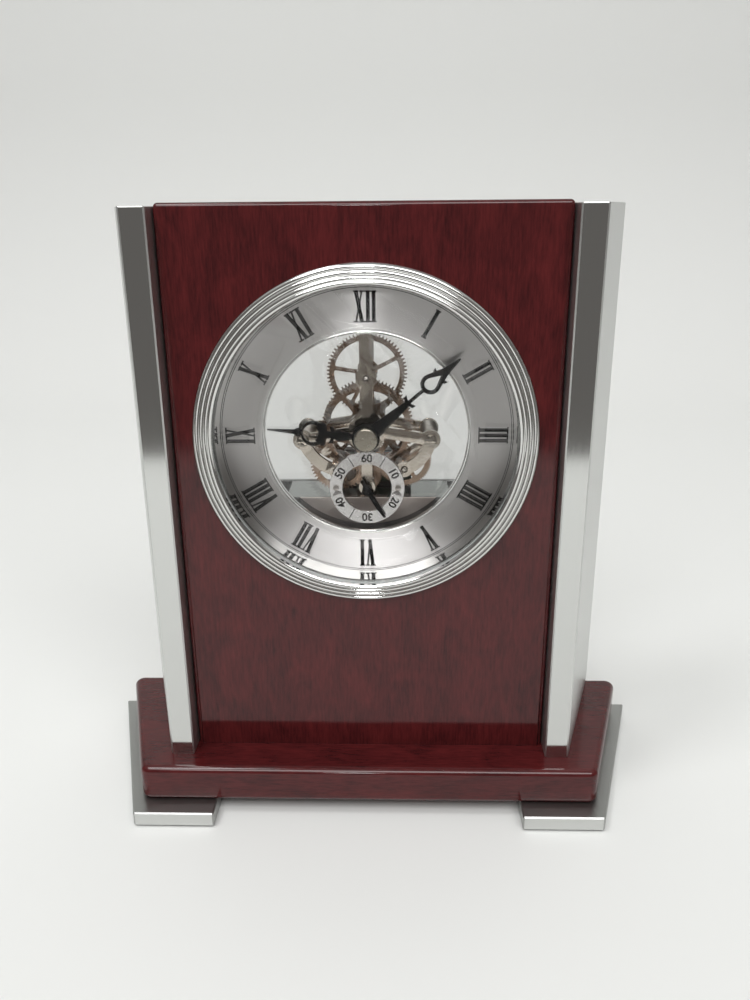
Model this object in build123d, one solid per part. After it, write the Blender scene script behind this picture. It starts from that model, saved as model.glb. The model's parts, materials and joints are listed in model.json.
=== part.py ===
from build123d import *
import os
from math import atan2, cos, degrees, hypot, pi, radians, sin, sqrt, tan

# Mantel clock: a flared stand of lacquered wood and aluminium that holds a round clock insert with a
# see-through battery movement. Millimetres, +Z up, the dial faces -Y, and the origin is on the table under
# the middle of the stand.

# Stand
FLARE_DEG = 18.3            # the sides open towards the back by this angle
FOOT_DEPTH = 61.0
FOOT_THICKNESS = 4.6
FOOT_HALF_FRONT = 70.2
FOOT_INNER_HALF = 46.1
PAD_RADIUS = 5.0
PAD_THICKNESS = 1.2
PAD_PROUD = 0.4
PLINTH_THICKNESS = 11.3
PLINTH_FRONT_SETBACK = 6.0  # plinth front behind the feet's fronts
PLINTH_BACK_SETBACK = 1.5
PLINTH_HALF_FRONT = 68.5
PLINTH_CORNER = 3.0
PLINTH_EDGE = 2.0
COLUMN_SETBACK = 7.5        # column fronts behind the plinth's front
COLUMN_INNER_HALF = 53.9
COLUMN_FACE = 6.9
COLUMN_HEIGHT = 160.1
COLUMN_WALL = 2.2
COLUMN_CAP = 3.0
COLUMN_PLUG = 9.0
COLUMN_EDGE = 0.4
PANEL_SETBACK = 6.0         # panel front behind the column fronts
PANEL_THICKNESS = 20.0
PANEL_RISE = 0.8            # panel top above the column tops
PANEL_GAP = 0.3
PANEL_EDGE = 1.2
PLUG_CLEARANCE = 0.05

# Fasteners of the stand
SCREW_RADIUS = 1.5
SCREW_HEAD_RADIUS = 2.9
SCREW_HEAD_HEIGHT = 1.7
SCREW_SLOT_WIDTH = 0.7
SCREW_SLOT_DEPTH = 0.8
SCREW_CLEARANCE = 0.1
FOOT_SCREW_LENGTH = 12.0
STAND_SCREW_LENGTH = 18.0
PANEL_SCREW_X = 32.0

# Clock insert, turned about one axis parallel to Y
DIAL_HEIGHT = 114.5         # axis above the table
HOLE_RADIUS = 45.0
BEZEL_RADIUS = 47.8
BEZEL_LIP_RADIUS = 42.3
BEZEL_EDGE = 0.9            # plain rim at the panel
BEZEL_PROUD = 2.7           # lip in front of the panel
BEZEL_RIBS = 3
RIB_CROWN = 0.38
LIP_THICKNESS = 1.0
LIP_BEAD = 1.3              # width of the rounded lip inside the ribs
SKIRT_RADIUS = 44.4
SKIRT_WALL = 0.8
SKIRT_LENGTH = 7.0
FIT = 0.1                   # radial clearance between stacked round pieces
CRYSTAL_THICKNESS = 1.6
GASKET_THICKNESS = 0.7
TUBE_WALL = 0.8
TUBE_LEDGE = 1.5
REAR_CLEARANCE = 0.3        # between the motor and the clear back
REFLECTOR_DEPTH = 5.9
REFLECTOR_WALL_FRONT = 0.7
REFLECTOR_WALL_BACK = 1.3
DIAL_THICKNESS = 0.8
WINDOW_RADIUS = 28.6
LIP_RING_WALL = 0.6
LIP_RING_FLANGE = 1.0
LIP_RING_PROUD = 0.35
CARRIER_THICKNESS = 1.5
CARRIER_MARGIN = 1.3        # carrier ring's opening outside the window lip's sleeve
GRIP_LENGTH = 9.0
GRIP_RIBS = 4
GRIP_SETBACK = 0.6
REAR_COVER_THICKNESS = 1.5
REAR_COVER_OPENING = 38.0
REAR_LENS_THICKNESS = 1.2
REAR_LENS_OVERLAP = 2.4

# Movement plates
BRIDGE_THICKNESS = 1.2
BRIDGE_BAR = 3.7
BRIDGE_ARM = 3.2
LOWER_ARM = 3.5
ARM_BOW = 1.2               # bow of the lower arms
HUB_BOSS = 5.4
TOP_BOSS = 3.2
BAR_REACH = 34.0            # bar's top end above the hub, on the carrier ring
PILLAR_X = 18.3
PILLAR_DROP = 2.0
PILLAR_RADIUS = 2.0
PILLAR_FLANGE_RADIUS = 2.6
PILLAR_FLANGE = 1.2
PILLAR_BOSS = 2.9
PILLAR_LENGTH = 13.2
BACK_PLATE_THICKNESS = 1.2
PIVOT_BOSS = 2.4
BUSH_RADIUS = 1.05
SPACER_RADIUS = 1.1
SPACER_X = 5.0

# Small screws of the movement
SLOT_SCREW_RADIUS = 0.8
SLOT_SCREW_HEAD = 1.75
SLOT_SCREW_HEAD_HEIGHT = 0.9
SLOT_SCREW_LENGTH = 4.0
SUBDIAL_SCREW_RADIUS = 0.5
SUBDIAL_SCREW_HEAD = 0.9
SUBDIAL_SCREW_HEAD_HEIGHT = 0.25
SLOT_WIDTH = 0.4

# Seconds dial
SUBDIAL_RADIUS = 10.9
SUBDIAL_INNER = 7.2
SUBDIAL_THICKNESS = 1.0
SUBDIAL_SEAT_OUTER = 10.4
SUBDIAL_SEAT_INNER = 8.2

# Going train and motion work: tooth counts, centre distances and the place of each layer of wheels
MOTION_DISTANCE = 15.86
CANNON_TEETH = 26
MINUTE_WHEEL_TEETH = 65
MINUTE_PINION_TEETH = 15
HOUR_WHEEL_TEETH = 72
CENTRE_TEETH = 72
THIRD_PINION_TEETH = 6
CENTRE_DISTANCE = 14.19
THIRD_TEETH = 50
SECONDS_PINION_TEETH = 10
THIRD_DISTANCE = 9.96
SECONDS_DROP = 16.1         # seconds arbor below the hub
DRIVE_TEETH = 72
SECONDS_WHEEL_TEETH = 35
DRIVE_DISTANCE = 12.04
DRIVE_ANGLE = 26.5
ADDENDUM = 0.9
DEDENDUM = 1.3
ROOT_SHARE = 0.56
TIP_SHARE = 0.22
WHEEL_THICKNESS = 0.9
PINION_OVERHANG = 0.5
LAYER_HOUR = 5.4            # front face of each layer, behind the bridge's front
LAYER_MOTION = 8.0
LAYER_DRIVE = 10.0
LAYER_CENTRE = 12.0
SPOKE = 1.1
RIM = 1.4
COLLET = 2.0
SPOKE_FILLET = 0.45

# Arbors
ARBOR_RADIUS = 0.6
RUNNING = 0.06              # radial clearance of a running fit
CENTRE_ARBOR_RADIUS = 0.9
HOUR_PIPE_WALL = 0.75

# Hands
MINUTE_HAND = 34.2
HOUR_HAND = 27.8
SECOND_HAND = 10.1
SECOND_TAIL = 3.0
MINUTE_ANGLE = 49.3         # clockwise from twelve
HOUR_ANGLE = 275.2
SECOND_ANGLE = 149.2
HAND_THICKNESS = 0.5
HAND_HUB = 3.9
HAND_GAP = 0.6
HOUR_HAND_LEAD = 5.1        # hour hand's front in front of the bridge's front
SECOND_BLADE_LEAD = 2.3
SECOND_HUB_LEAD = 4.1
SECOND_HUB_RADIUS = 1.35
NUT_RADIUS = 3.35
NUT_HEIGHT = 1.8
NUT_KNURLS = 32
KNURL_RADIUS = 0.2

# Setting knob
KNOB_RADIUS = 5.0
KNOB_LENGTH = 5.5
KNOB_FLUTES = 18
KNOB_FLUTE_RADIUS = 0.45
KNOB_CLEARANCE = 0.7

# Battery box and motor
BOX_HALF_WIDTH = 24.5
BOX_DROP = 20.8             # top of the box below the hub
BOX_HEIGHT = 11.9
BOX_SETBACK = 4.7           # front of the box behind the bridge's front
BOX_WALL = 0.8
CELL_RADIUS = 5.0
CELL_LENGTH = 43.3
CELL_BUTTON_RADIUS = 1.9
CELL_BUTTON = 0.8
CONTACT_THICKNESS = 0.4
CONTACT_HEIGHT = 8.0
COVER_MARGIN = 1.3
COVER_THICKNESS = 1.3
COVER_CLEARANCE = 0.15
COVER_GRIP = 0.6
COVER_GRIPS = 5
MOTOR_WIDTH = 22.0
MOTOR_HEIGHT = 11.5
MOTOR_MARGIN = 2.3          # housing past the drive arbor
MOTOR_DEPTH = 3.6
MOTOR_WALL = 0.7
MOTOR_CORNER = 1.5
COIL_LENGTH = 10.0
ROTOR_RADIUS = 1.3
STATOR_THICKNESS = 0.6
BOARD_THICKNESS = 0.8

# Places worked out from the sizes above
FLARE = tan(radians(FLARE_DEG))
FOOT_FRONT = -FOOT_DEPTH / 2
FOOT_BACK = FOOT_DEPTH / 2
PLINTH_FRONT = FOOT_FRONT + PLINTH_FRONT_SETBACK
PLINTH_BACK = FOOT_BACK - PLINTH_BACK_SETBACK
PLINTH_BOTTOM = PAD_PROUD + FOOT_THICKNESS
PLINTH_TOP = PLINTH_BOTTOM + PLINTH_THICKNESS
COLUMN_FRONT = PLINTH_FRONT + COLUMN_SETBACK
COLUMN_TOP = PLINTH_TOP + COLUMN_HEIGHT
PANEL_FRONT = COLUMN_FRONT + PANEL_SETBACK
PANEL_BACK = PANEL_FRONT + PANEL_THICKNESS
PANEL_TOP = COLUMN_TOP + PANEL_RISE
PANEL_HALF = COLUMN_INNER_HALF - PANEL_GAP
PANEL_MID = (PANEL_FRONT + PANEL_BACK) / 2

LIP_FRONT = PANEL_FRONT - BEZEL_PROUD
CRYSTAL_FRONT = LIP_FRONT + LIP_THICKNESS
CRYSTAL_BACK = CRYSTAL_FRONT + CRYSTAL_THICKNESS
CRYSTAL_RADIUS = SKIRT_RADIUS - SKIRT_WALL - FIT
TUBE_FRONT = CRYSTAL_BACK + GASKET_THICKNESS
TUBE_RADIUS = CRYSTAL_RADIUS
TUBE_INNER = TUBE_RADIUS - TUBE_WALL
DIAL_RADIUS = TUBE_INNER - FIT
DIAL_FRONT = TUBE_FRONT + REFLECTOR_DEPTH
DIAL_BACK = DIAL_FRONT + DIAL_THICKNESS
LIP_SLEEVE = WINDOW_RADIUS + LIP_RING_WALL
CARRIER_INNER = LIP_SLEEVE + CARRIER_MARGIN
CARRIER_BACK = DIAL_BACK + CARRIER_THICKNESS
BRIDGE_FRONT = CARRIER_BACK
BRIDGE_BACK = BRIDGE_FRONT + BRIDGE_THICKNESS
PLATE_FRONT = BRIDGE_BACK + PILLAR_LENGTH
PLATE_BACK = PLATE_FRONT + BACK_PLATE_THICKNESS
MOTOR_BACK = PLATE_BACK + MOTOR_DEPTH
LENS_FRONT = MOTOR_BACK + REAR_CLEARANCE
LENS_BACK = LENS_FRONT + REAR_LENS_THICKNESS
COVER_FRONT = LENS_BACK
COVER_BACK = COVER_FRONT + REAR_COVER_THICKNESS
TUBE_BACK = COVER_BACK
SUBDIAL_FRONT = BRIDGE_FRONT - SUBDIAL_THICKNESS
HOUR_HAND_FRONT = BRIDGE_FRONT - HOUR_HAND_LEAD
MINUTE_HAND_FRONT = HOUR_HAND_FRONT - HAND_GAP - HAND_THICKNESS
NUT_FRONT = MINUTE_HAND_FRONT - NUT_HEIGHT

HUB = (0.0, DIAL_HEIGHT)
TOP = (0.0, DIAL_HEIGHT + MOTION_DISTANCE)
SECONDS = (0.0, DIAL_HEIGHT - SECONDS_DROP)
THIRD_DROP = (CENTRE_DISTANCE**2 - THIRD_DISTANCE**2 + SECONDS_DROP**2) / (2 * SECONDS_DROP)
THIRD = (-sqrt(CENTRE_DISTANCE**2 - THIRD_DROP**2), DIAL_HEIGHT - THIRD_DROP)
DRIVE = (
    DRIVE_DISTANCE * cos(radians(DRIVE_ANGLE)),
    SECONDS[1] + DRIVE_DISTANCE * sin(radians(DRIVE_ANGLE)),
)
PILLARS = [(-PILLAR_X, DIAL_HEIGHT - PILLAR_DROP), (PILLAR_X, DIAL_HEIGHT - PILLAR_DROP)]
BAR_SCREW = (0.0, DIAL_HEIGHT + (CARRIER_INNER + BAR_REACH) / 2)

MOTION_MODULE = 2 * MOTION_DISTANCE / (CANNON_TEETH + MINUTE_WHEEL_TEETH)
HOUR_MODULE = 2 * MOTION_DISTANCE / (HOUR_WHEEL_TEETH + MINUTE_PINION_TEETH)
CENTRE_MODULE = 2 * CENTRE_DISTANCE / (CENTRE_TEETH + THIRD_PINION_TEETH)
THIRD_MODULE = 2 * THIRD_DISTANCE / (THIRD_TEETH + SECONDS_PINION_TEETH)
DRIVE_MODULE = 2 * DRIVE_DISTANCE / (DRIVE_TEETH + SECONDS_WHEEL_TEETH)

BOX_TOP = DIAL_HEIGHT - BOX_DROP
BOX_BOTTOM = BOX_TOP - BOX_HEIGHT
BOX_MID = (BOX_TOP + BOX_BOTTOM) / 2
BOX_FRONT = BRIDGE_FRONT + BOX_SETBACK
BOX_BACK = COVER_FRONT
CELL_Y = BOX_BACK - FIT - CELL_RADIUS
COVER_HALF_WIDTH = BOX_HALF_WIDTH - COVER_MARGIN
COVER_HALF_HEIGHT = BOX_HEIGHT / 2 - COVER_MARGIN
MOTOR = (DRIVE[0] + MOTOR_MARGIN - MOTOR_WIDTH / 2, BOX_TOP + FIT + MOTOR_HEIGHT / 2)


# Helpers

def facing(y):
    """Sketch plane whose X is the part's X, whose Y is the part's Z, and whose normal points to the front."""
    return Plane(origin=(0, y, 0), x_dir=(1, 0, 0), z_dir=(0, -1, 0))


def slab(sketch, front, back):
    """A sketch drawn in X and Z made solid from one depth to another."""
    return extrude(facing(back) * sketch, amount=back - front)


def disc(at, radius, front, back):
    return slab(Pos(*at) * Circle(radius), front, back)


def ring(at, outer, inner, front, back):
    return slab(Pos(*at) * (Circle(outer) - Circle(inner)), front, back)


def turned(*points):
    """A closed outline of (radius, depth) points spun about the dial's axis."""
    outline = make_face(Polyline(*points, close=True))
    return revolve(Pos(0, 0, DIAL_HEIGHT) * outline, axis=Axis((0, 0, DIAL_HEIGHT), (0, 1, 0)))


def group(solids):
    return Compound(children=list(solids))


def arm(start, end, width):
    """A straight strip between two places on a plate."""
    length = hypot(end[0] - start[0], end[1] - start[1])
    turn = degrees(atan2(end[1] - start[1], end[0] - start[0]))
    middle = ((start[0] + end[0]) / 2, (start[1] + end[1]) / 2)
    return Pos(*middle) * Rot(0, 0, turn) * Rectangle(length, width)


def bent_arm(start, via, end, width):
    return trace(ThreePointArc(start, via, end), width)


def boss(at, radius):
    return Pos(*at) * Circle(radius)


def below(at, drop):
    return (at[0], at[1] - drop)


# Gears

def gear_sketch(teeth, module, at, phase):
    """Gear outline with straight tapered teeth, a tooth at the phase angle, in degrees from +X."""
    pitch = module * teeth / 2
    tip = pitch + ADDENDUM * module
    root = pitch - DEDENDUM * module
    step = 2 * pi / teeth
    points = []
    for tooth in range(teeth):
        middle = radians(phase) + tooth * step
        flanks = ((root, -ROOT_SHARE), (tip, -TIP_SHARE), (tip, TIP_SHARE), (root, ROOT_SHARE))
        for radius, share in flanks:
            angle = middle + share * step / 2
            points.append((at[0] + radius * cos(angle), at[1] + radius * sin(angle)))
    return make_face(Polyline(*points, close=True))


def meshed_phase(teeth, phase, at, other_teeth, other_at):
    """Phase of a gear whose teeth stand in the gaps of a gear already placed."""
    line = degrees(atan2(other_at[1] - at[1], other_at[0] - at[0]))
    share = (line - phase) * teeth / 360
    return line + 180 - (0.5 - share) * 360 / other_teeth


def spoked(teeth, module, at, phase, spokes, first_spoke, bore):
    """Wheel outline, crossed out between a rim, straight spokes and a collet."""
    rim = module * (teeth / 2 - DEDENDUM) - RIM
    gaps = Circle(rim) - Circle(COLLET)
    for spoke in range(spokes):
        turn = first_spoke + spoke * 360 / spokes
        gaps -= Rot(0, 0, turn) * Pos(rim / 2, 0) * Rectangle(rim + RIM, SPOKE)
    gaps = fillet(gaps.vertices(), SPOKE_FILLET)
    return gear_sketch(teeth, module, at, phase) - Pos(*at) * gaps - boss(at, bore)


CENTRE_PHASE = 0.0
CANNON_PHASE = 0.0
THIRD_PINION_PHASE = meshed_phase(CENTRE_TEETH, CENTRE_PHASE, HUB, THIRD_PINION_TEETH, THIRD)
THIRD_PHASE = THIRD_PINION_PHASE
SECONDS_PINION_PHASE = meshed_phase(THIRD_TEETH, THIRD_PHASE, THIRD, SECONDS_PINION_TEETH, SECONDS)
SECONDS_WHEEL_PHASE = SECONDS_PINION_PHASE
DRIVE_PHASE = meshed_phase(SECONDS_WHEEL_TEETH, SECONDS_WHEEL_PHASE, SECONDS, DRIVE_TEETH, DRIVE)
MINUTE_WHEEL_PHASE = meshed_phase(CANNON_TEETH, CANNON_PHASE, HUB, MINUTE_WHEEL_TEETH, TOP)
MINUTE_PINION_PHASE = MINUTE_WHEEL_PHASE
HOUR_WHEEL_PHASE = meshed_phase(MINUTE_PINION_TEETH, MINUTE_PINION_PHASE, TOP, HOUR_WHEEL_TEETH, HUB)


def layer(setback):
    return BRIDGE_FRONT + setback


def wheel(teeth, module, at, phase, setback, spokes, first_spoke, bore):
    front = layer(setback)
    return slab(spoked(teeth, module, at, phase, spokes, first_spoke, bore), front, front + WHEEL_THICKNESS)


def pinion(teeth, module, at, phase, setback):
    front = layer(setback)
    return slab(
        gear_sketch(teeth, module, at, phase),
        front - PINION_OVERHANG,
        front + WHEEL_THICKNESS + PINION_OVERHANG,
    )


# Stand

def flared(front, back, half_front):
    """Plan of a piece whose two sides open towards the back."""
    half_back = half_front + (back - front) * FLARE
    corners = [(-half_front, front), (half_front, front), (half_back, back), (-half_back, back)]
    return make_face(Polyline(*corners, close=True))


def flared_side(front, back, inner, outer_front):
    """Plan of a right-hand piece with a straight inner edge and a flared outer edge."""
    outer_back = outer_front + (back - front) * FLARE
    corners = [(inner, front), (outer_front, front), (outer_back, back), (inner, back)]
    return make_face(Polyline(*corners, close=True))


def standing(sketch, bottom, top):
    return extrude(Pos(0, 0, bottom) * sketch, amount=top - bottom)


def left_of(solid):
    return mirror(solid, about=Plane.YZ)


def countersunk_screw(x, y, head_z, length):
    """Screw driven upwards, its slotted head flush with the face below it."""
    shank = Pos(x, y, head_z) * extrude(Circle(SCREW_RADIUS), amount=length)
    head = Pos(x, y, head_z) * loft([
        Circle(SCREW_HEAD_RADIUS), Pos(0, 0, SCREW_HEAD_HEIGHT) * Circle(SCREW_RADIUS)])
    slot_plan = Rectangle(2 * SCREW_HEAD_RADIUS, SCREW_SLOT_WIDTH)
    slot = Pos(x, y, head_z) * extrude(slot_plan, amount=SCREW_SLOT_DEPTH)
    return (shank + head) - slot


def screw_hole(x, y, head_z, length):
    """Clearance for a countersunk screw."""
    bore = Circle(SCREW_RADIUS + SCREW_CLEARANCE)
    shank = Pos(x, y, head_z) * extrude(bore, amount=length + SCREW_CLEARANCE)
    head = Pos(x, y, head_z) * loft([
        Circle(SCREW_HEAD_RADIUS + SCREW_CLEARANCE),
        Pos(0, 0, SCREW_HEAD_HEIGHT) * Circle(SCREW_RADIUS + SCREW_CLEARANCE)])
    return shank + head


def both_sides(places):
    return [(side * x, y) for x, y in places for side in (-1, 1)]


COLUMN_MID_X = COLUMN_INNER_HALF + COLUMN_FACE
COLUMN_DEPTH = PLINTH_BACK - COLUMN_FRONT
FOOT_SCREWS = both_sides([
    (FOOT_INNER_HALF + 0.5 * (FOOT_HALF_FRONT - FOOT_INNER_HALF), PLINTH_FRONT + 0.35 * COLUMN_DEPTH),
    (FOOT_INNER_HALF + 0.9 * (FOOT_HALF_FRONT - FOOT_INNER_HALF), PLINTH_BACK - 0.35 * COLUMN_DEPTH),
])
COLUMN_SCREWS = both_sides([
    (COLUMN_MID_X, COLUMN_FRONT + 0.4 * COLUMN_DEPTH),
    (COLUMN_MID_X + 0.2 * COLUMN_DEPTH * FLARE, COLUMN_FRONT + 0.75 * COLUMN_DEPTH),
])
PANEL_SCREWS = both_sides([(PANEL_SCREW_X, PANEL_MID)])
FOOT_PADS = both_sides([
    (FOOT_INNER_HALF + 0.5 * (FOOT_HALF_FRONT - FOOT_INNER_HALF), FOOT_FRONT + 1.6 * PAD_RADIUS),
    (FOOT_INNER_HALF + 1.2 * (FOOT_HALF_FRONT - FOOT_INNER_HALF), FOOT_BACK - 1.6 * PAD_RADIUS),
])


def foot():
    """Right foot plate, with seats for its pads and holes for its screws."""
    plate = standing(
        flared_side(FOOT_FRONT, FOOT_BACK, FOOT_INNER_HALF, FOOT_HALF_FRONT), PAD_PROUD, PLINTH_BOTTOM)
    plate = chamfer(plate.edges(), COLUMN_EDGE)
    for x, y in FOOT_PADS:
        plate -= Pos(x, y, PAD_PROUD) * extrude(Circle(PAD_RADIUS + FIT), amount=PAD_THICKNESS - PAD_PROUD)
    for x, y in FOOT_SCREWS:
        plate -= screw_hole(x, y, PAD_PROUD, FOOT_SCREW_LENGTH)
    return plate


def foot_pads():
    return group(Pos(x, y, 0) * extrude(Circle(PAD_RADIUS), amount=PAD_THICKNESS) for x, y in FOOT_PADS)


def base_plinth():
    """Wooden plinth with rounded corners and edges, drilled for the screws from below."""
    plan = flared(PLINTH_FRONT, PLINTH_BACK, PLINTH_HALF_FRONT)
    plan = fillet(plan.vertices(), PLINTH_CORNER)
    board = standing(plan, PLINTH_BOTTOM, PLINTH_TOP)
    rims = board.faces().sort_by(Axis.Z)
    board = fillet(rims[0].edges() + rims[-1].edges(), PLINTH_EDGE)
    for x, y in FOOT_SCREWS:
        board -= screw_hole(x, y, PAD_PROUD, FOOT_SCREW_LENGTH)
    for x, y in COLUMN_SCREWS + PANEL_SCREWS:
        board -= screw_hole(x, y, PLINTH_BOTTOM, STAND_SCREW_LENGTH)
    return board


def column_plan():
    return flared_side(COLUMN_FRONT, PLINTH_BACK, COLUMN_INNER_HALF, COLUMN_INNER_HALF + COLUMN_FACE)


def column_hollow(clearance):
    return offset(column_plan(), amount=-COLUMN_WALL - clearance, kind=Kind.INTERSECTION)


def column():
    """Right column, a hollow extrusion open at both ends."""
    bar = standing(column_plan(), PLINTH_TOP, COLUMN_TOP)
    bar = chamfer(bar.edges().filter_by(Axis.Z), COLUMN_EDGE)
    return bar - standing(column_hollow(0.0), PLINTH_TOP, COLUMN_TOP)


def column_cap():
    return standing(column_hollow(PLUG_CLEARANCE), COLUMN_TOP - COLUMN_CAP, COLUMN_TOP)


def column_plug():
    plug = standing(column_hollow(PLUG_CLEARANCE), PLINTH_TOP, PLINTH_TOP + COLUMN_PLUG)
    for x, y in COLUMN_SCREWS:
        plug -= screw_hole(x, y, PLINTH_BOTTOM, STAND_SCREW_LENGTH)
    return plug


def front_panel():
    """Wooden panel between the columns, with the round hole for the clock insert."""
    board = Pos(0, PANEL_MID, (PLINTH_TOP + PANEL_TOP) / 2) * Box(
        2 * PANEL_HALF, PANEL_THICKNESS, PANEL_TOP - PLINTH_TOP)
    foot_edges = board.faces().sort_by(Axis.Z)[0].edges()
    rounded = [edge for edge in board.edges() if edge not in foot_edges]
    board = fillet(rounded, PANEL_EDGE)
    board -= disc(HUB, HOLE_RADIUS, PANEL_FRONT, PANEL_BACK)
    for x, y in PANEL_SCREWS:
        board -= screw_hole(x, y, PLINTH_BOTTOM, STAND_SCREW_LENGTH)
    return board


# Clock insert

def bezel():
    """Plated ring: a rim on the panel, rounded ribs that climb inwards, a lip, and a skirt in the hole."""
    rib_start = BEZEL_LIP_RADIUS + LIP_BEAD
    rib_width = (BEZEL_RADIUS - rib_start) / BEZEL_RIBS
    rim_front = PANEL_FRONT - BEZEL_EDGE
    climb = (rim_front - LIP_FRONT) / BEZEL_RIBS
    bead_crown = (BEZEL_LIP_RADIUS + LIP_BEAD / 2, LIP_FRONT - RIB_CROWN)
    lines = [ThreePointArc((BEZEL_LIP_RADIUS, LIP_FRONT), bead_crown, (rib_start, LIP_FRONT))]
    for rib in range(BEZEL_RIBS):
        inner = (rib_start + rib * rib_width, LIP_FRONT + rib * climb)
        outer = (rib_start + (rib + 1) * rib_width, LIP_FRONT + (rib + 1) * climb)
        crown = ((inner[0] + outer[0]) / 2, (inner[1] + outer[1]) / 2 - RIB_CROWN)
        lines.append(ThreePointArc(inner, crown, outer))
    skirt_back = PANEL_FRONT + SKIRT_LENGTH
    seat = SKIRT_RADIUS - SKIRT_WALL
    lines.append(Polyline(
        (BEZEL_RADIUS, rim_front), (BEZEL_RADIUS, PANEL_FRONT), (SKIRT_RADIUS, PANEL_FRONT),
        (SKIRT_RADIUS, skirt_back), (seat, skirt_back), (seat, CRYSTAL_FRONT),
        (BEZEL_LIP_RADIUS, CRYSTAL_FRONT), (BEZEL_LIP_RADIUS, LIP_FRONT)))
    outline = make_face(lines)
    return revolve(Pos(0, 0, DIAL_HEIGHT) * outline, axis=Axis((0, 0, DIAL_HEIGHT), (0, 1, 0)))


def case_tube():
    """Moulded tube through the panel, with a ledge for the dial stack and a seat for the rear cover."""
    ledge = TUBE_INNER - TUBE_LEDGE
    return turned(
        (TUBE_RADIUS, TUBE_FRONT), (TUBE_RADIUS, TUBE_BACK), (TUBE_INNER, TUBE_BACK),
        (TUBE_INNER, COVER_FRONT), (ledge, COVER_FRONT), (ledge, CARRIER_BACK),
        (TUBE_INNER, CARRIER_BACK), (TUBE_INNER, TUBE_FRONT))


def grip_band():
    """Rubber band with rounded ribs that holds the insert in the panel's hole."""
    front = PANEL_FRONT + SKIRT_LENGTH + GRIP_SETBACK
    floor = TUBE_RADIUS + 0.4 * (HOLE_RADIUS - TUBE_RADIUS)
    rib = GRIP_LENGTH / GRIP_RIBS
    lines = []
    for number in range(GRIP_RIBS):
        start = front + number * rib
        lines.append(ThreePointArc((floor, start), (HOLE_RADIUS, start + rib / 2), (floor, start + rib)))
    back = front + GRIP_LENGTH
    lines.append(Polyline((floor, back), (TUBE_RADIUS, back), (TUBE_RADIUS, front), (floor, front)))
    outline = make_face(lines)
    return revolve(Pos(0, 0, DIAL_HEIGHT) * outline, axis=Axis((0, 0, DIAL_HEIGHT), (0, 1, 0)))


def reflector_ring():
    return turned(
        (DIAL_RADIUS, TUBE_FRONT), (DIAL_RADIUS, DIAL_FRONT),
        (DIAL_RADIUS - REFLECTOR_WALL_BACK, DIAL_FRONT), (DIAL_RADIUS - REFLECTOR_WALL_FRONT, TUBE_FRONT))


def window_lip():
    """Polished ring that lines the dial's window, with a flange over the dial's edge."""
    flange = WINDOW_RADIUS + LIP_RING_FLANGE
    front = DIAL_FRONT - LIP_RING_PROUD
    return turned(
        (WINDOW_RADIUS + LIP_RING_PROUD, front), (flange, DIAL_FRONT), (LIP_SLEEVE, DIAL_FRONT),
        (LIP_SLEEVE, DIAL_BACK), (WINDOW_RADIUS, DIAL_BACK), (WINDOW_RADIUS, DIAL_FRONT))


def rear_cover():
    """Moulded back with a round opening for the lens and a slot over the battery."""
    plate = boss(HUB, DIAL_RADIUS) - boss(HUB, REAR_COVER_OPENING)
    lower = boss(HUB, REAR_COVER_OPENING) & (
        Pos(0, BOX_TOP - REAR_COVER_OPENING) * Rectangle(2 * REAR_COVER_OPENING, 2 * REAR_COVER_OPENING))
    slot = Pos(0, BOX_MID) * Rectangle(2 * COVER_HALF_WIDTH, 2 * COVER_HALF_HEIGHT)
    return slab(plate + lower - slot, COVER_FRONT, COVER_BACK)


def rear_lens():
    """Clear back over the movement, cut straight above the battery box and drilled for the centre arbor."""
    pane = boss(HUB, REAR_COVER_OPENING + REAR_LENS_OVERLAP)
    keep = Pos(0, BOX_TOP + DIAL_RADIUS + FIT) * Rectangle(3 * DIAL_RADIUS, 2 * DIAL_RADIUS)
    return slab((pane & keep) - boss(HUB, 2 * CENTRE_ARBOR_RADIUS), LENS_FRONT, LENS_BACK)


# Movement plates

SUBDIAL_SCREWS = [
    (side * (SUBDIAL_INNER + SUBDIAL_RADIUS) / 2, SECONDS[1]) for side in (-1, 1)]
SPACERS = [(side * SPACER_X, SECONDS[1] - sqrt(
    ((SUBDIAL_SEAT_INNER + SUBDIAL_SEAT_OUTER) / 2) ** 2 - SPACER_X**2)) for side in (-1, 1)]
FRONT_PIVOTS = [TOP, THIRD, DRIVE]
REAR_PIVOTS = [TOP, THIRD, SECONDS, DRIVE]
BUSH_BORE = ARBOR_RADIUS + RUNNING


def arms(width):
    """Strips common to both plates: bar to the top, arms to the pillars and down to the seconds arbor."""
    left, right = PILLARS
    top = (0, DIAL_HEIGHT + BAR_REACH)
    sketch = boss(HUB, HUB_BOSS) + boss(SECONDS, PIVOT_BOSS) + arm(HUB, top, BRIDGE_BAR)
    sketch += Pos(*TOP) * RegularPolygon(TOP_BOSS, 8, rotation=22.5)
    sketch += boss(left, PILLAR_BOSS) + boss(right, PILLAR_BOSS)
    sketch += arm(below(HUB, -PILLAR_DROP / 2), left, width) + arm(below(HUB, -PILLAR_DROP / 2), right, width)
    sketch += arm(HUB, SECONDS, width)
    for pillar_at, pivot in ((left, THIRD), (right, DRIVE)):
        side = pillar_at[0] / abs(pillar_at[0])
        middle = ((pillar_at[0] + pivot[0]) / 2, (pillar_at[1] + pivot[1]) / 2)
        sketch += bent_arm(pillar_at, (middle[0] + side * ARM_BOW, middle[1] - ARM_BOW), pivot, LOWER_ARM)
    sketch += boss(THIRD, PIVOT_BOSS) + boss(DRIVE, PIVOT_BOSS)
    return sketch


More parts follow.
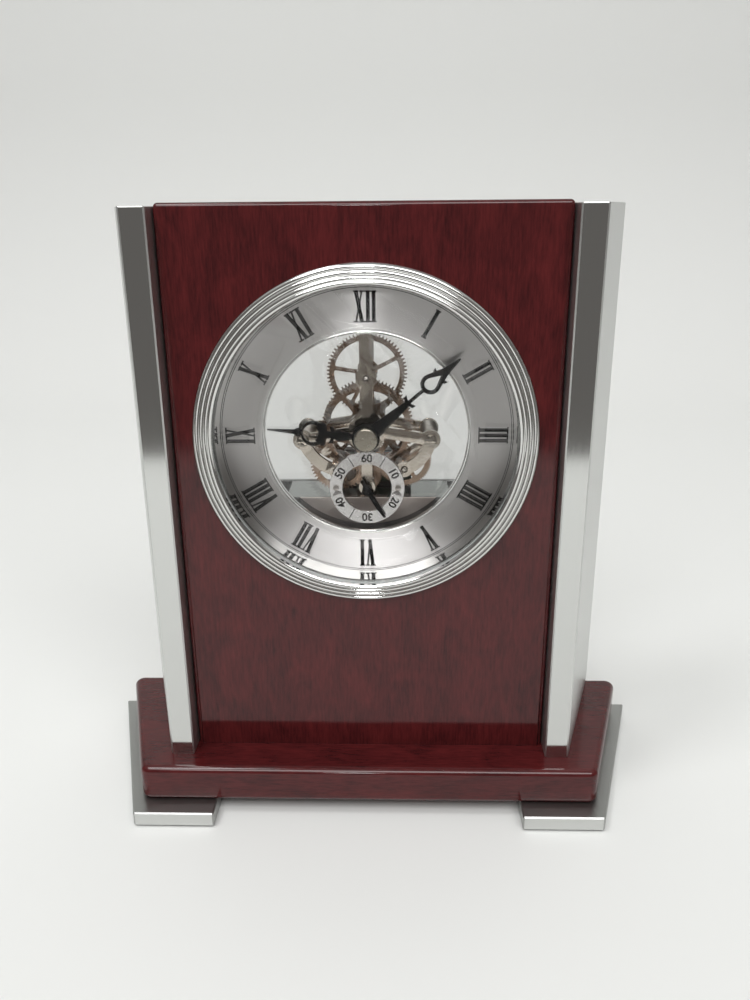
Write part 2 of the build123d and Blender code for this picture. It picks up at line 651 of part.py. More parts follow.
def shoulders():
    """Flare between the bar and the hub."""
    low = DIAL_HEIGHT + 0.75 * HUB_BOSS
    high = low + HUB_BOSS / 2
    corners = [(-0.8 * HUB_BOSS, low), (0.8 * HUB_BOSS, low), (BRIDGE_BAR / 2, high), (-BRIDGE_BAR / 2, high)]
    return make_face(Polyline(*corners, close=True))


def front_bridge():
    """Front plate: a bar up to the carrier ring, arms to the pillars and a seat for the seconds dial."""
    sketch = arms(BRIDGE_ARM) + shoulders()
    sketch += boss(SECONDS, SUBDIAL_SEAT_OUTER) - boss(SECONDS, SUBDIAL_SEAT_INNER)
    sketch += arm(HUB, SECONDS, BRIDGE_ARM)
    plate = slab(sketch, BRIDGE_FRONT, BRIDGE_BACK)
    plate -= disc(HUB, HOUR_PIPE_RADIUS + RUNNING, BRIDGE_FRONT, BRIDGE_BACK)
    plate -= disc(SECONDS, BUSH_BORE, BRIDGE_FRONT, BRIDGE_BACK)
    for at in FRONT_PIVOTS:
        plate -= disc(at, BUSH_RADIUS, BRIDGE_FRONT, BRIDGE_BACK)
    for at in PILLARS + [BAR_SCREW]:
        plate -= disc(at, SLOT_SCREW_RADIUS + FIT, BRIDGE_FRONT, BRIDGE_BACK)
    for at in SUBDIAL_SCREWS:
        plate -= disc(at, SUBDIAL_SCREW_RADIUS + FIT, BRIDGE_FRONT, BRIDGE_BACK)
    return plate


def back_plate():
    """Back plate on the pillars, with a foot on the battery box and the rear pivots."""
    sketch = arms(BRIDGE_ARM) + arm(SECONDS, DRIVE, BRIDGE_ARM) + arm(SECONDS, THIRD, BRIDGE_ARM)
    sketch += arm(SECONDS, (SECONDS[0], BOX_TOP), 2 * PIVOT_BOSS)
    plate = slab(sketch, PLATE_FRONT, PLATE_BACK)
    plate -= disc(HUB, CENTRE_ARBOR_RADIUS + RUNNING, PLATE_FRONT, PLATE_BACK)
    for at in REAR_PIVOTS:
        plate -= disc(at, BUSH_RADIUS, PLATE_FRONT, PLATE_BACK)
    return plate


def pivot_bushes():
    """Jewelled bushes pressed into both plates."""
    front = [ring(at, BUSH_RADIUS, BUSH_BORE, BRIDGE_FRONT, BRIDGE_BACK) for at in FRONT_PIVOTS]
    rear = [ring(at, BUSH_RADIUS, BUSH_BORE, PLATE_FRONT, PLATE_BACK) for at in REAR_PIVOTS]
    return group(front + rear)


def pillar(at):
    """Turned pillar between the plates, with a flange at its rear end and a threaded front end."""
    post = disc(at, PILLAR_RADIUS, BRIDGE_BACK, PLATE_FRONT)
    post += disc(at, PILLAR_FLANGE_RADIUS, PLATE_FRONT - PILLAR_FLANGE, PLATE_FRONT)
    return post - disc(at, SLOT_SCREW_RADIUS + FIT, BRIDGE_BACK, BRIDGE_FRONT + SLOT_SCREW_LENGTH)


def slotted_screw(at, seat, radius, head, head_height, length):
    """Slotted screw with a flat round head in front of its seat."""
    top = disc(at, head, seat - head_height, seat)
    top = fillet(top.faces().sort_by(Axis.Y)[0].edges(), 0.35 * head_height)
    top -= slab(Pos(*at) * Rectangle(2 * head, SLOT_WIDTH), seat - head_height, seat - head_height / 2)
    return top + disc(at, radius, seat, seat + length)


def bar_screw_shape(clearance):
    """Flat-headed screw from the carrier ring through the bar into the top pillar."""
    x, z = BAR_SCREW
    head = Pos(x, DIAL_BACK, z) * Rot(-90, 0, 0) * loft([
        Circle(SLOT_SCREW_HEAD + clearance),
        Pos(0, 0, SLOT_SCREW_HEAD_HEIGHT) * Circle(SLOT_SCREW_RADIUS + clearance)])
    return head + disc(BAR_SCREW, SLOT_SCREW_RADIUS + clearance, DIAL_BACK, BRIDGE_FRONT + SLOT_SCREW_LENGTH)


def bar_screw():
    slot = Pos(*BAR_SCREW) * Rectangle(2 * SLOT_SCREW_HEAD, SLOT_WIDTH)
    return bar_screw_shape(0.0) - slab(slot, DIAL_BACK, DIAL_BACK + SLOT_SCREW_HEAD_HEIGHT / 2)


def carrier_ring():
    """Moulded ring behind the dial; an apron under the window reaches back to the battery box."""
    blank = ring(HUB, DIAL_RADIUS, CARRIER_INNER, DIAL_BACK, CARRIER_BACK)
    lower = Pos(0, BOX_TOP - CARRIER_INNER) * Rectangle(2 * CARRIER_INNER, 2 * CARRIER_INNER)
    apron = (boss(HUB, CARRIER_INNER) - boss(HUB, LIP_SLEEVE)) & lower
    blank += slab(apron, DIAL_BACK, BOX_FRONT)
    return blank - bar_screw_shape(FIT)


def subdial_ring():
    blank = ring(SECONDS, SUBDIAL_RADIUS, SUBDIAL_INNER, SUBDIAL_FRONT, BRIDGE_FRONT)
    for at in SUBDIAL_SCREWS:
        blank -= disc(at, SUBDIAL_SCREW_RADIUS + FIT, SUBDIAL_FRONT, BRIDGE_FRONT)
    return blank


# Wheels and arbors

HOUR_PIPE_BORE = CENTRE_ARBOR_RADIUS + RUNNING
HOUR_PIPE_RADIUS = HOUR_PIPE_BORE + HOUR_PIPE_WALL
ARBOR_BACK = PLATE_BACK


def centre_arbor():
    return disc(HUB, CENTRE_ARBOR_RADIUS, NUT_FRONT + NUT_HEIGHT / 2, KNOB_FRONT + KNOB_LENGTH / 2)


def cannon_pinion():
    blank = pinion(CANNON_TEETH, MOTION_MODULE, HUB, CANNON_PHASE, LAYER_MOTION)
    return blank - disc(HUB, CENTRE_ARBOR_RADIUS, BRIDGE_BACK, PLATE_FRONT)


def centre_wheel():
    return wheel(CENTRE_TEETH, CENTRE_MODULE, HUB, CENTRE_PHASE, LAYER_CENTRE, 4, 45.0, CENTRE_ARBOR_RADIUS)


def hour_wheel():
    """Hour wheel on its pipe, which turns on the centre arbor and runs in the bridge's hub."""
    blank = wheel(
        HOUR_WHEEL_TEETH, HOUR_MODULE, HUB, HOUR_WHEEL_PHASE, LAYER_HOUR, 5, 54.0, HOUR_PIPE_BORE)
    pipe = ring(HUB, HOUR_PIPE_RADIUS, HOUR_PIPE_BORE, HOUR_HAND_FRONT, layer(LAYER_HOUR) + WHEEL_THICKNESS)
    return blank + pipe


def minute_arbor():
    """Arbor of the top wheel with its pinion."""
    rod = disc(TOP, ARBOR_RADIUS, BRIDGE_FRONT, ARBOR_BACK)
    return rod + pinion(MINUTE_PINION_TEETH, HOUR_MODULE, TOP, MINUTE_PINION_PHASE, LAYER_HOUR)


def minute_wheel():
    return wheel(
        MINUTE_WHEEL_TEETH, MOTION_MODULE, TOP, MINUTE_WHEEL_PHASE, LAYER_MOTION, 5, 27.0, ARBOR_RADIUS)


KNOB_FRONT = LENS_BACK + KNOB_CLEARANCE


def setting_knob():
    """Fluted knob on the rear end of the centre arbor, which sets the hands."""
    face = Circle(KNOB_RADIUS)
    for flute in range(KNOB_FLUTES):
        face -= Rot(0, 0, flute * 360 / KNOB_FLUTES) * Pos(KNOB_RADIUS, 0) * Circle(KNOB_FLUTE_RADIUS)
    body = slab(Pos(*HUB) * face, KNOB_FRONT, KNOB_FRONT + KNOB_LENGTH)
    return body - disc(HUB, CENTRE_ARBOR_RADIUS, KNOB_FRONT, KNOB_FRONT + KNOB_LENGTH / 2)


def third_arbor():
    rod = disc(THIRD, ARBOR_RADIUS, BRIDGE_FRONT, ARBOR_BACK)
    return rod + pinion(THIRD_PINION_TEETH, CENTRE_MODULE, THIRD, THIRD_PINION_PHASE, LAYER_CENTRE)


def third_wheel():
    return wheel(THIRD_TEETH, THIRD_MODULE, THIRD, THIRD_PHASE, LAYER_MOTION, 4, 20.0, ARBOR_RADIUS)


SECOND_HUB_FRONT = BRIDGE_FRONT - SECOND_HUB_LEAD
SECOND_BLADE_FRONT = BRIDGE_FRONT - SECOND_BLADE_LEAD


def seconds_arbor():
    rod = disc(SECONDS, ARBOR_RADIUS, SECOND_BLADE_FRONT, ARBOR_BACK)
    return rod + pinion(SECONDS_PINION_TEETH, THIRD_MODULE, SECONDS, SECONDS_PINION_PHASE, LAYER_MOTION)


def seconds_wheel():
    front = layer(LAYER_DRIVE)
    outline = gear_sketch(SECONDS_WHEEL_TEETH, DRIVE_MODULE, SECONDS, SECONDS_WHEEL_PHASE)
    return slab(outline - boss(SECONDS, ARBOR_RADIUS), front, front + WHEEL_THICKNESS)


def drive_arbor():
    return disc(DRIVE, ARBOR_RADIUS, BRIDGE_FRONT, PLATE_BACK + MOTOR_WALL)


def drive_wheel():
    return wheel(DRIVE_TEETH, DRIVE_MODULE, DRIVE, DRIVE_PHASE, LAYER_DRIVE, 4, 30.0, ARBOR_RADIUS)


# Hands, drawn pointing up from their hub and then turned clockwise

def needle(start, end, root_width, tip_width):
    corners = [(-root_width / 2, start), (root_width / 2, start), (tip_width / 2, end), (-tip_width / 2, end)]
    return make_face(Polyline(*corners, close=True))


def cusps(at, reach, height):
    """Cross-piece whose two blunt ends curl towards the tip."""
    right = [(0.4 * reach, at - 0.6 * height), (0.9 * reach, at - 0.3 * height), (reach, at + height),
             (0.45 * reach, at + 0.4 * height)]
    left = [(-x, y) for x, y in reversed(right)]
    return make_face(Polyline(*right, *left, close=True))


def placed_hand(sketch, at, angle, front):
    return slab(Pos(*at) * Rot(0, 0, -angle) * sketch, front, front + HAND_THICKNESS)


def hour_hand():
    """Hub, waisted stem with cusps, a ring with a crescent, a bead and a long point."""
    bead = 0.69 * HOUR_HAND
    eye = 0.53 * HOUR_HAND
    eye_radius = 0.13 * HOUR_HAND
    waist = 0.27 * HOUR_HAND
    cross = 0.34 * HOUR_HAND
    sketch = Circle(HAND_HUB) + needle(0.9 * HAND_HUB, waist, 1.3, 3.5) + needle(waist, cross, 3.5, 1.6)
    sketch += cusps(cross, 2.5, 1.0) + needle(cross, eye - 0.8 * eye_radius, 1.6, 2.6)
    sketch += Pos(0, eye) * Circle(eye_radius) - Pos(0, eye + 0.1 * eye_radius) * Circle(0.72 * eye_radius)
    crescent = Pos(0, eye - 0.45 * eye_radius) * Circle(0.62 * eye_radius)
    sketch += crescent - Pos(0, eye + 0.28 * eye_radius) * Circle(0.66 * eye_radius)
    sketch += cusps(eye - 0.85 * eye_radius, 0.95 * eye_radius, 0.3 * eye_radius)
    sketch += needle(eye + 0.9 * eye_radius, bead, 1.2, 1.2) + Pos(0, bead) * Circle(1.15)
    sketch += needle(bead, HOUR_HAND, 1.4, 0.35)
    sketch -= Circle(HOUR_PIPE_RADIUS)
    return placed_hand(sketch, HUB, HOUR_ANGLE, HOUR_HAND_FRONT)


def minute_hand():
    """Hub, tapered stem with cusps, a pierced drop and a long point."""
    collar = 0.46 * MINUTE_HAND
    eye = 0.69 * MINUTE_HAND
    eye_radius = 0.082 * MINUTE_HAND
    neck = eye + 1.9 * eye_radius
    sketch = Circle(HAND_HUB) + needle(0, collar, 4.8, 1.6)
    sketch += cusps(collar, 2.0, 0.9) + needle(collar, eye - 0.8 * eye_radius, 0.95, 0.95)
    sketch += Pos(0, eye) * Circle(eye_radius) + needle(eye + 0.3 * eye_radius, neck, 1.9 * eye_radius, 2.2)
    sketch += cusps(eye + 1.1 * eye_radius, 2.6, 0.8)
    sketch -= Pos(0, eye) * Circle(0.6 * eye_radius)
    sketch -= needle(eye + 0.3 * eye_radius, eye + 1.25 * eye_radius, 1.08 * eye_radius, 0.2)
    sketch += needle(neck, MINUTE_HAND, 2.2, 0.4)
    sketch -= Circle(CENTRE_ARBOR_RADIUS)
    return placed_hand(sketch, HUB, MINUTE_ANGLE, MINUTE_HAND_FRONT)


def second_hand():
    """Slim hand with a tail, on a raised hub pushed over its arbor."""
    blade = needle(-SECOND_TAIL, 0, 1.0, 1.0) + needle(0, 0.74 * SECOND_HAND, 1.5, 1.4)
    blade += needle(0.74 * SECOND_HAND, SECOND_HAND, 1.0, 0.7)
    hand = placed_hand(blade, SECONDS, SECOND_ANGLE, SECOND_BLADE_FRONT)
    hand += disc(SECONDS, SECOND_HUB_RADIUS, SECOND_HUB_FRONT, SECOND_BLADE_FRONT + HAND_THICKNESS)
    return hand - disc(SECONDS, ARBOR_RADIUS, SECOND_BLADE_FRONT, SECOND_BLADE_FRONT + HAND_THICKNESS)


def hand_nut():
    """Flat round nut with a knurled rim, on the centre arbor, that holds the minute hand."""
    body = disc(HUB, NUT_RADIUS, NUT_FRONT, MINUTE_HAND_FRONT)
    body = fillet(body.faces().sort_by(Axis.Y)[0].edges(), 0.35 * NUT_HEIGHT)
    grooves = [Pos(*HUB) * spot * Circle(KNURL_RADIUS) for spot in PolarLocations(NUT_RADIUS, NUT_KNURLS)]
    for groove in grooves:
        body -= slab(groove, NUT_FRONT, MINUTE_HAND_FRONT)
    return body - disc(HUB, CENTRE_ARBOR_RADIUS, NUT_FRONT + NUT_HEIGHT / 2, MINUTE_HAND_FRONT)


# Battery box and motor

def battery_box():
    """Open-backed box under the movement that holds one cell."""
    shell = slab(Pos(0, BOX_MID) * Rectangle(2 * BOX_HALF_WIDTH, BOX_HEIGHT), BOX_FRONT, BOX_BACK)
    inside = Rectangle(2 * (BOX_HALF_WIDTH - BOX_WALL), BOX_HEIGHT - 2 * BOX_WALL)
    shell -= slab(Pos(0, BOX_MID) * inside, BOX_FRONT + BOX_WALL, BOX_BACK)
    cradle_front = CELL_Y - CELL_RADIUS - FIT
    cradle = Rectangle(2 * (BOX_HALF_WIDTH - BOX_WALL), BOX_WALL)
    return shell + slab(Pos(0, BOX_MID) * cradle, BOX_FRONT, cradle_front)


def battery():
    """Plain dry cell lying across the box, its button to the right."""
    cell = Pos(-CELL_BUTTON / 2, CELL_Y, BOX_MID) * Rot(0, 90, 0) * Cylinder(CELL_RADIUS, CELL_LENGTH)
    cell = fillet(cell.edges(), 2 * FIT)
    button_x = (CELL_LENGTH - CELL_BUTTON) / 2 + CELL_BUTTON / 2
    button = Pos(button_x, CELL_Y, BOX_MID) * Rot(0, 90, 0) * Cylinder(CELL_BUTTON_RADIUS, CELL_BUTTON)
    return cell + button


def contact(side):
    """Plated strip at one end of the cell, with a raised pad that reaches the cell."""
    wall = BOX_HALF_WIDTH - BOX_WALL
    reach = (CELL_LENGTH + CELL_BUTTON) / 2
    strip = Pos(side * (wall - CONTACT_THICKNESS / 2), CELL_Y, BOX_MID) * Box(
        CONTACT_THICKNESS, CONTACT_HEIGHT, CONTACT_HEIGHT)
    pad = Pos(side * (wall + reach) / 2, CELL_Y, BOX_MID) * Rot(0, 90, 0) * Cylinder(
        CELL_BUTTON_RADIUS, wall - reach)
    return strip + pad


def battery_cover():
    """Cover in the rear cover's slot, with finger ridges; it pulls straight off to the back."""
    half_width = COVER_HALF_WIDTH - COVER_CLEARANCE
    half_height = COVER_HALF_HEIGHT - COVER_CLEARANCE
    plate = slab(Pos(0, BOX_MID) * Rectangle(2 * half_width, 2 * half_height),
                 COVER_BACK - COVER_THICKNESS, COVER_BACK)
    pitch = 3 * COVER_GRIP
    for number in range(COVER_GRIPS):
        x = (number - (COVER_GRIPS - 1) / 2) * pitch
        ridge = Pos(x, BOX_MID) * Rectangle(COVER_GRIP, half_height)
        plate += slab(ridge, COVER_BACK, COVER_BACK + COVER_GRIP)
    return plate


def motor_housing():
    """Moulded cover on the back plate, open towards the plate."""
    outline = Pos(*MOTOR) * RectangleRounded(MOTOR_WIDTH, MOTOR_HEIGHT, MOTOR_CORNER)
    inside = Pos(*MOTOR) * RectangleRounded(
        MOTOR_WIDTH - 2 * MOTOR_WALL, MOTOR_HEIGHT - 2 * MOTOR_WALL, MOTOR_CORNER - MOTOR_WALL)
    shell = slab(outline, PLATE_BACK, MOTOR_BACK)
    return shell - slab(inside, PLATE_BACK, MOTOR_BACK - MOTOR_WALL)


COIL_RADIUS = (MOTOR_DEPTH - MOTOR_WALL - BOARD_THICKNESS) / 2 - FIT
COIL = (MOTOR[0], MOTOR[1] + MOTOR_HEIGHT / 2 - MOTOR_WALL - COIL_RADIUS - FIT)
ROTOR = (MOTOR[0] - MOTOR_WIDTH / 4, MOTOR[1] - COIL_RADIUS)
BOARD_BACK = MOTOR_BACK - MOTOR_WALL
BOARD_FRONT = BOARD_BACK - BOARD_THICKNESS
STATOR_FRONT = PLATE_BACK + 2 * FIT + ARBOR_RADIUS


def motor_coil():
    """Wound coil between two bobbin cheeks."""
    y = PLATE_BACK + COIL_RADIUS + FIT
    coil = Pos(COIL[0], y, COIL[1]) * Rot(0, 90, 0) * Cylinder(COIL_RADIUS - 2 * FIT, COIL_LENGTH)
    for side in (-1, 1):
        cheek_x = COIL[0] + side * COIL_LENGTH / 2
        coil += Pos(cheek_x, y, COIL[1]) * Rot(0, 90, 0) * Cylinder(COIL_RADIUS, MOTOR_WALL)
    return coil


def motor_stator():
    """Soft iron plate round the rotor."""
    top = COIL[1] - COIL_RADIUS - FIT
    bottom = MOTOR[1] - MOTOR_HEIGHT / 2 + MOTOR_WALL + FIT
    width = MOTOR_WIDTH / 2 - MOTOR_WALL - 2 * ARBOR_RADIUS
    outline = RectangleRounded(width, top - bottom, MOTOR_CORNER - MOTOR_WALL)
    plate = Pos(ROTOR[0], (top + bottom) / 2) * outline
    return slab(plate - boss(ROTOR, ROTOR_RADIUS + 2 * FIT), STATOR_FRONT, BOARD_FRONT)


def motor_rotor():
    return disc(ROTOR, ROTOR_RADIUS, PLATE_BACK + FIT, BOARD_FRONT - FIT)


def circuit_board():
    margin = 2 * MOTOR_WALL + 2 * FIT
    board = RectangleRounded(MOTOR_WIDTH - margin, MOTOR_HEIGHT - margin, MOTOR_CORNER - MOTOR_WALL)
    return slab(Pos(*MOTOR) * board, BOARD_FRONT, BOARD_BACK)


right_foot = foot()
right_column = column()
right_cap = column_cap()
right_plug = column_plug()

PARTS = {
    "base_plinth": base_plinth(),
    "right_foot": right_foot,
    "left_foot": left_of(right_foot),
    "foot_pads": foot_pads(),
    "foot_screws": group(countersunk_screw(x, y, PAD_PROUD, FOOT_SCREW_LENGTH) for x, y in FOOT_SCREWS),
    "right_column": right_column,
    "left_column": left_of(right_column),
    "right_column_cap": right_cap,
    "left_column_cap": left_of(right_cap),
    "right_column_plug": right_plug,
    "left_column_plug": left_of(right_plug),
    "stand_screws": group(
        countersunk_screw(x, y, PLINTH_BOTTOM, STAND_SCREW_LENGTH) for x, y in COLUMN_SCREWS + PANEL_SCREWS),
    "front_panel": front_panel(),
    "bezel": bezel(),
    "crystal": disc(HUB, CRYSTAL_RADIUS, CRYSTAL_FRONT, CRYSTAL_BACK),
    "crystal_gasket": ring(HUB, CRYSTAL_RADIUS, TUBE_INNER, CRYSTAL_BACK, TUBE_FRONT),
    "reflector_ring": reflector_ring(),
    "dial_ring": ring(HUB, DIAL_RADIUS, LIP_SLEEVE, DIAL_FRONT, DIAL_BACK),
    "window_lip": window_lip(),
    "carrier_ring": carrier_ring(),
    "case_tube": case_tube(),
    "grip_band": grip_band(),
    "rear_cover": rear_cover(),
    "rear_lens": rear_lens(),
    "front_bridge": front_bridge(),
    "back_plate": back_plate(),
    "pivot_bushes": pivot_bushes(),
    "pillars": group(pillar(at) for at in PILLARS + [BAR_SCREW]),
    "pillar_screws": group(
        slotted_screw(at, BRIDGE_FRONT, SLOT_SCREW_RADIUS, SLOT_SCREW_HEAD, SLOT_SCREW_HEAD_HEIGHT,
                      SLOT_SCREW_LENGTH) for at in PILLARS),
    "bar_screw": bar_screw(),
    "spacers": group(disc(at, SPACER_RADIUS, BRIDGE_BACK, BOX_FRONT) for at in SPACERS),
    "subdial_ring": subdial_ring(),
    "subdial_screws": group(
        slotted_screw(at, SUBDIAL_FRONT, SUBDIAL_SCREW_RADIUS, SUBDIAL_SCREW_HEAD, SUBDIAL_SCREW_HEAD_HEIGHT,
                      SUBDIAL_THICKNESS + BRIDGE_THICKNESS) for at in SUBDIAL_SCREWS),
    "centre_arbor": centre_arbor(),
    "cannon_pinion": cannon_pinion(),
    "centre_wheel": centre_wheel(),
    "minute_hand": minute_hand(),
    "hand_nut": hand_nut(),
    "hour_wheel": hour_wheel(),
    "hour_hand": hour_hand(),
    "minute_arbor": minute_arbor(),
    "minute_wheel": minute_wheel(),
    "setting_knob": setting_knob(),
    "third_arbor": third_arbor(),
    "third_wheel": third_wheel(),
    "seconds_arbor": seconds_arbor(),
    "seconds_wheel": seconds_wheel(),
    "second_hand": second_hand(),
    "drive_arbor": drive_arbor(),
    "drive_wheel": drive_wheel(),
    "battery_box": battery_box(),
    "battery": battery(),
    "positive_contact": contact(1),
    "negative_contact": contact(-1),
    "battery_cover": battery_cover(),
    "motor_housing": motor_housing(),
    "motor_coil": motor_coil(),
    "motor_stator": motor_stator(),
    "motor_rotor": motor_rotor(),
    "circuit_board": circuit_board(),
}

os.makedirs("parts", exist_ok=True)
for name, shape in PARTS.items():
    export_step(shape, os.path.join("parts", name + ".step"))
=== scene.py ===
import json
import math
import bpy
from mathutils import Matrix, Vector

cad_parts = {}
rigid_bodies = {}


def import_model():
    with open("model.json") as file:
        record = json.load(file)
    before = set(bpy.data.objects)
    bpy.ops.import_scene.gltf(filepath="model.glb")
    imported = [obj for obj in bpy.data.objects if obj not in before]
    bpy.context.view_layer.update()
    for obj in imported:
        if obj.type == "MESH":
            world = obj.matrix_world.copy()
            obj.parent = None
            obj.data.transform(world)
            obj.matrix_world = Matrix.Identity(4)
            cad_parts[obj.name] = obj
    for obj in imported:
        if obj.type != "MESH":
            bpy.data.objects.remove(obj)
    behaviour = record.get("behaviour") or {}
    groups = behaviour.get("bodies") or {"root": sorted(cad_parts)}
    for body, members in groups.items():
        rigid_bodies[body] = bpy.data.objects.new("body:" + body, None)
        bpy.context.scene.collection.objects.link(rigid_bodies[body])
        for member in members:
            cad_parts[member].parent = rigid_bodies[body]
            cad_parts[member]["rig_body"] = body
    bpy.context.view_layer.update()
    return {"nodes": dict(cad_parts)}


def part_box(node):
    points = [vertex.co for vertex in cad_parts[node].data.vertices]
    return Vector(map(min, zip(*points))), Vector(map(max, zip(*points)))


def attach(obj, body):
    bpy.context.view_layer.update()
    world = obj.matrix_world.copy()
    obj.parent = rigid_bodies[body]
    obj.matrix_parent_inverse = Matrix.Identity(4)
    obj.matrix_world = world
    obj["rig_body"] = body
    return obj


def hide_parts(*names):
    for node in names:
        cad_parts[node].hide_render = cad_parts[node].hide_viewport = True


bl_info = {
    "name": "Mantel Clock Finish",
    "version": (1, 0, 0),
    "blender": (4, 5, 0),
    "location": "View3D > Sidebar > Mantel Clock",
    "description": "Finishes, printing and turned details for a mantel clock with a see-through movement",
    "category": "Object",
}

import bmesh
import bpy
from bpy.props import FloatProperty, FloatVectorProperty, PointerProperty
from mathutils import Matrix, Vector

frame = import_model()
MM = 0.001


def linear(hex_colour):
    """sRGB hex, such as #c0ffee, to the linear RGB that Blender's sockets take."""
    parts = [int(hex_colour[i:i + 2], 16) / 255 for i in (1, 3, 5)]
    return tuple(p / 12.92 if p <= 0.04045 else ((p + 0.055) / 1.055) ** 2.4 for p in parts)


def rgba(colour):
    return (*colour, 1.0)


def colour_property(label, about, hex_colour):
    return FloatVectorProperty(name=label, description=about, subtype="COLOR", size=3, min=0, max=1,
                               default=linear(hex_colour))


def length_property(label, about, millimetres):
    return FloatProperty(name=label, description=about, unit="LENGTH", default=millimetres * MM, precision=5)


DIAL_LOW, DIAL_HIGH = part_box("dial_ring")
AXIS = Vector((0, 0, (DIAL_LOW.z + DIAL_HIGH.z) / 2))
DIAL_FACE = DIAL_LOW.y
SECONDS_LOW, SECONDS_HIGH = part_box("subdial_ring")
SECONDS_AXIS = Vector((0, 0, (SECONDS_LOW.z + SECONDS_HIGH.z) / 2))
SECONDS_FACE = SECONDS_LOW.y

# Turned pieces of the insert
BEZEL_LIP = 42.3 * MM
BEZEL_SKIRT = 44.4 * MM
BEZEL_RIM = 0.9 * MM
BEZEL_RIBS = 3
CRYSTAL_FIT = 0.1 * MM
REFLECTOR_WALL_FRONT = 0.7 * MM
REFLECTOR_WALL_BACK = 1.3 * MM
WINDOW_RADIUS = 28.6 * MM
WINDOW_SLEEVE = 0.6 * MM
DIAL_BORE = 29.2 * MM
# radii of the thin black ink ring painted as the seam's shade at the foot of the reflector
SEAM_SHADE_RADII = (40.95 * MM, 41.15 * MM)
TURNED_STEPS = 360

# Printing on the seconds dial
FIGURE_RADIUS = 9.05 * MM
FIGURE_WEIGHT = 0.085 * MM
TICK_RADIUS = 7.4 * MM
TICK_LENGTH = 3.3 * MM
TICK_WIDTH = 0.22 * MM

# Stage, in metres, and the camera fitted to the photograph
FLOOR_REACH = 4.0
FLOOR_FRONT = -0.4
COVE_FOOT = 0.5
COVE_RADIUS = 0.3
WALL_TOP = 2.5
CAMERA_PLACE = (0.00927, -0.23596, 0.17541)
CAMERA_YAW, CAMERA_PITCH, CAMERA_ROLL = (math.radians(angle) for angle in (1.72, 19.11, 0.52))
CAMERA_FOCAL = 842.54 / 1000
SENSOR = 36.0


class ClockSizes(bpy.types.PropertyGroup):
    numeral_inner: length_property("Numeral foot", "Radius of the numerals' feet on the dial", 31.65)
    numeral_height: length_property("Numeral height", "Height of the dial's numerals", 8.45)
    numeral_thick: length_property("Thick stroke", "Width of a numeral's thick strokes", 1.05)
    numeral_thin: length_property("Thin stroke", "Width of a numeral's thin strokes", 0.52)
    numeral_serif: length_property("Serif", "Thickness of a numeral's serifs", 0.42)
    print_height: length_property("Print height", "Thickness of the printed ink", 0.02)
    seconds_height: length_property("Seconds figure height", "Height of the small dial's figures", 2.3)
    edge_bevel: length_property("Plate edge", "Width of the polished bevel on the movement's plates", 0.28)
    rib_crown: length_property("Rib crown", "Height of the bezel's rounded ribs", 0.38)
    lip_bead: length_property("Lip bead", "Width of the bezel's rounded inner lip", 1.3)


class ClockColours(bpy.types.PropertyGroup):
    wood_dark: colour_property("Wood dark", "Dark grain of the stained wood", "#341012")
    wood_light: colour_property("Wood light", "Light grain of the stained wood", "#591e1f")
    aluminium: colour_property("Aluminium", "Columns and feet", "#d3d4d2")
    chrome: colour_property("Chrome", "Bezel and bright rings", "#dcdcda")
    dial: colour_property("Dial", "Spun silver dial", "#d0cecd")
    ink: colour_property("Ink", "Printing on the dials", "#070606")
    nickel: colour_property("Nickel", "Plates of the movement", "#c0b8ad")
    wheel: colour_property("Wheels", "Wheels of the movement", "#9c8574")
    plastic: colour_property("Moulded plastic", "Tube, back and knob", "#161616")
    floor: colour_property("Floor", "Floor and backdrop", "#e6e7e5")


def sizes():
    return bpy.context.scene.clock_sizes


def colours():
    return bpy.context.scene.clock_colours


def add(tree, kind, sockets=None, stops=None, **settings):
    """Adds a node, gives it its settings and colour stops, and fills or links its sockets."""
    made = tree.nodes.new(kind)
    for name, value in settings.items():
        setattr(made, name, value)
    for name, value in (sockets or {}).items():
        if isinstance(value, bpy.types.NodeSocket):
            tree.links.new(value, made.inputs[name])
        else:
            made.inputs[name].default_value = value
    if stops:
        points = made.color_ramp.elements
        while len(points) < len(stops):
            points.new(0.5)
        for point, (place, colour) in zip(points, stops):
            point.position = place
            point.color = rgba(colour)
    return made


def finish(name, sockets=None):
    """A new material, its node tree and its principled shader with these constant values."""
    material = bpy.data.materials.new(name)
    material.use_nodes = True
    tree = material.node_tree
    shader = tree.nodes["Principled BSDF"]
    for socket, value in (sockets or {}).items():
        shader.inputs[socket].default_value = value
    return material, tree, shader


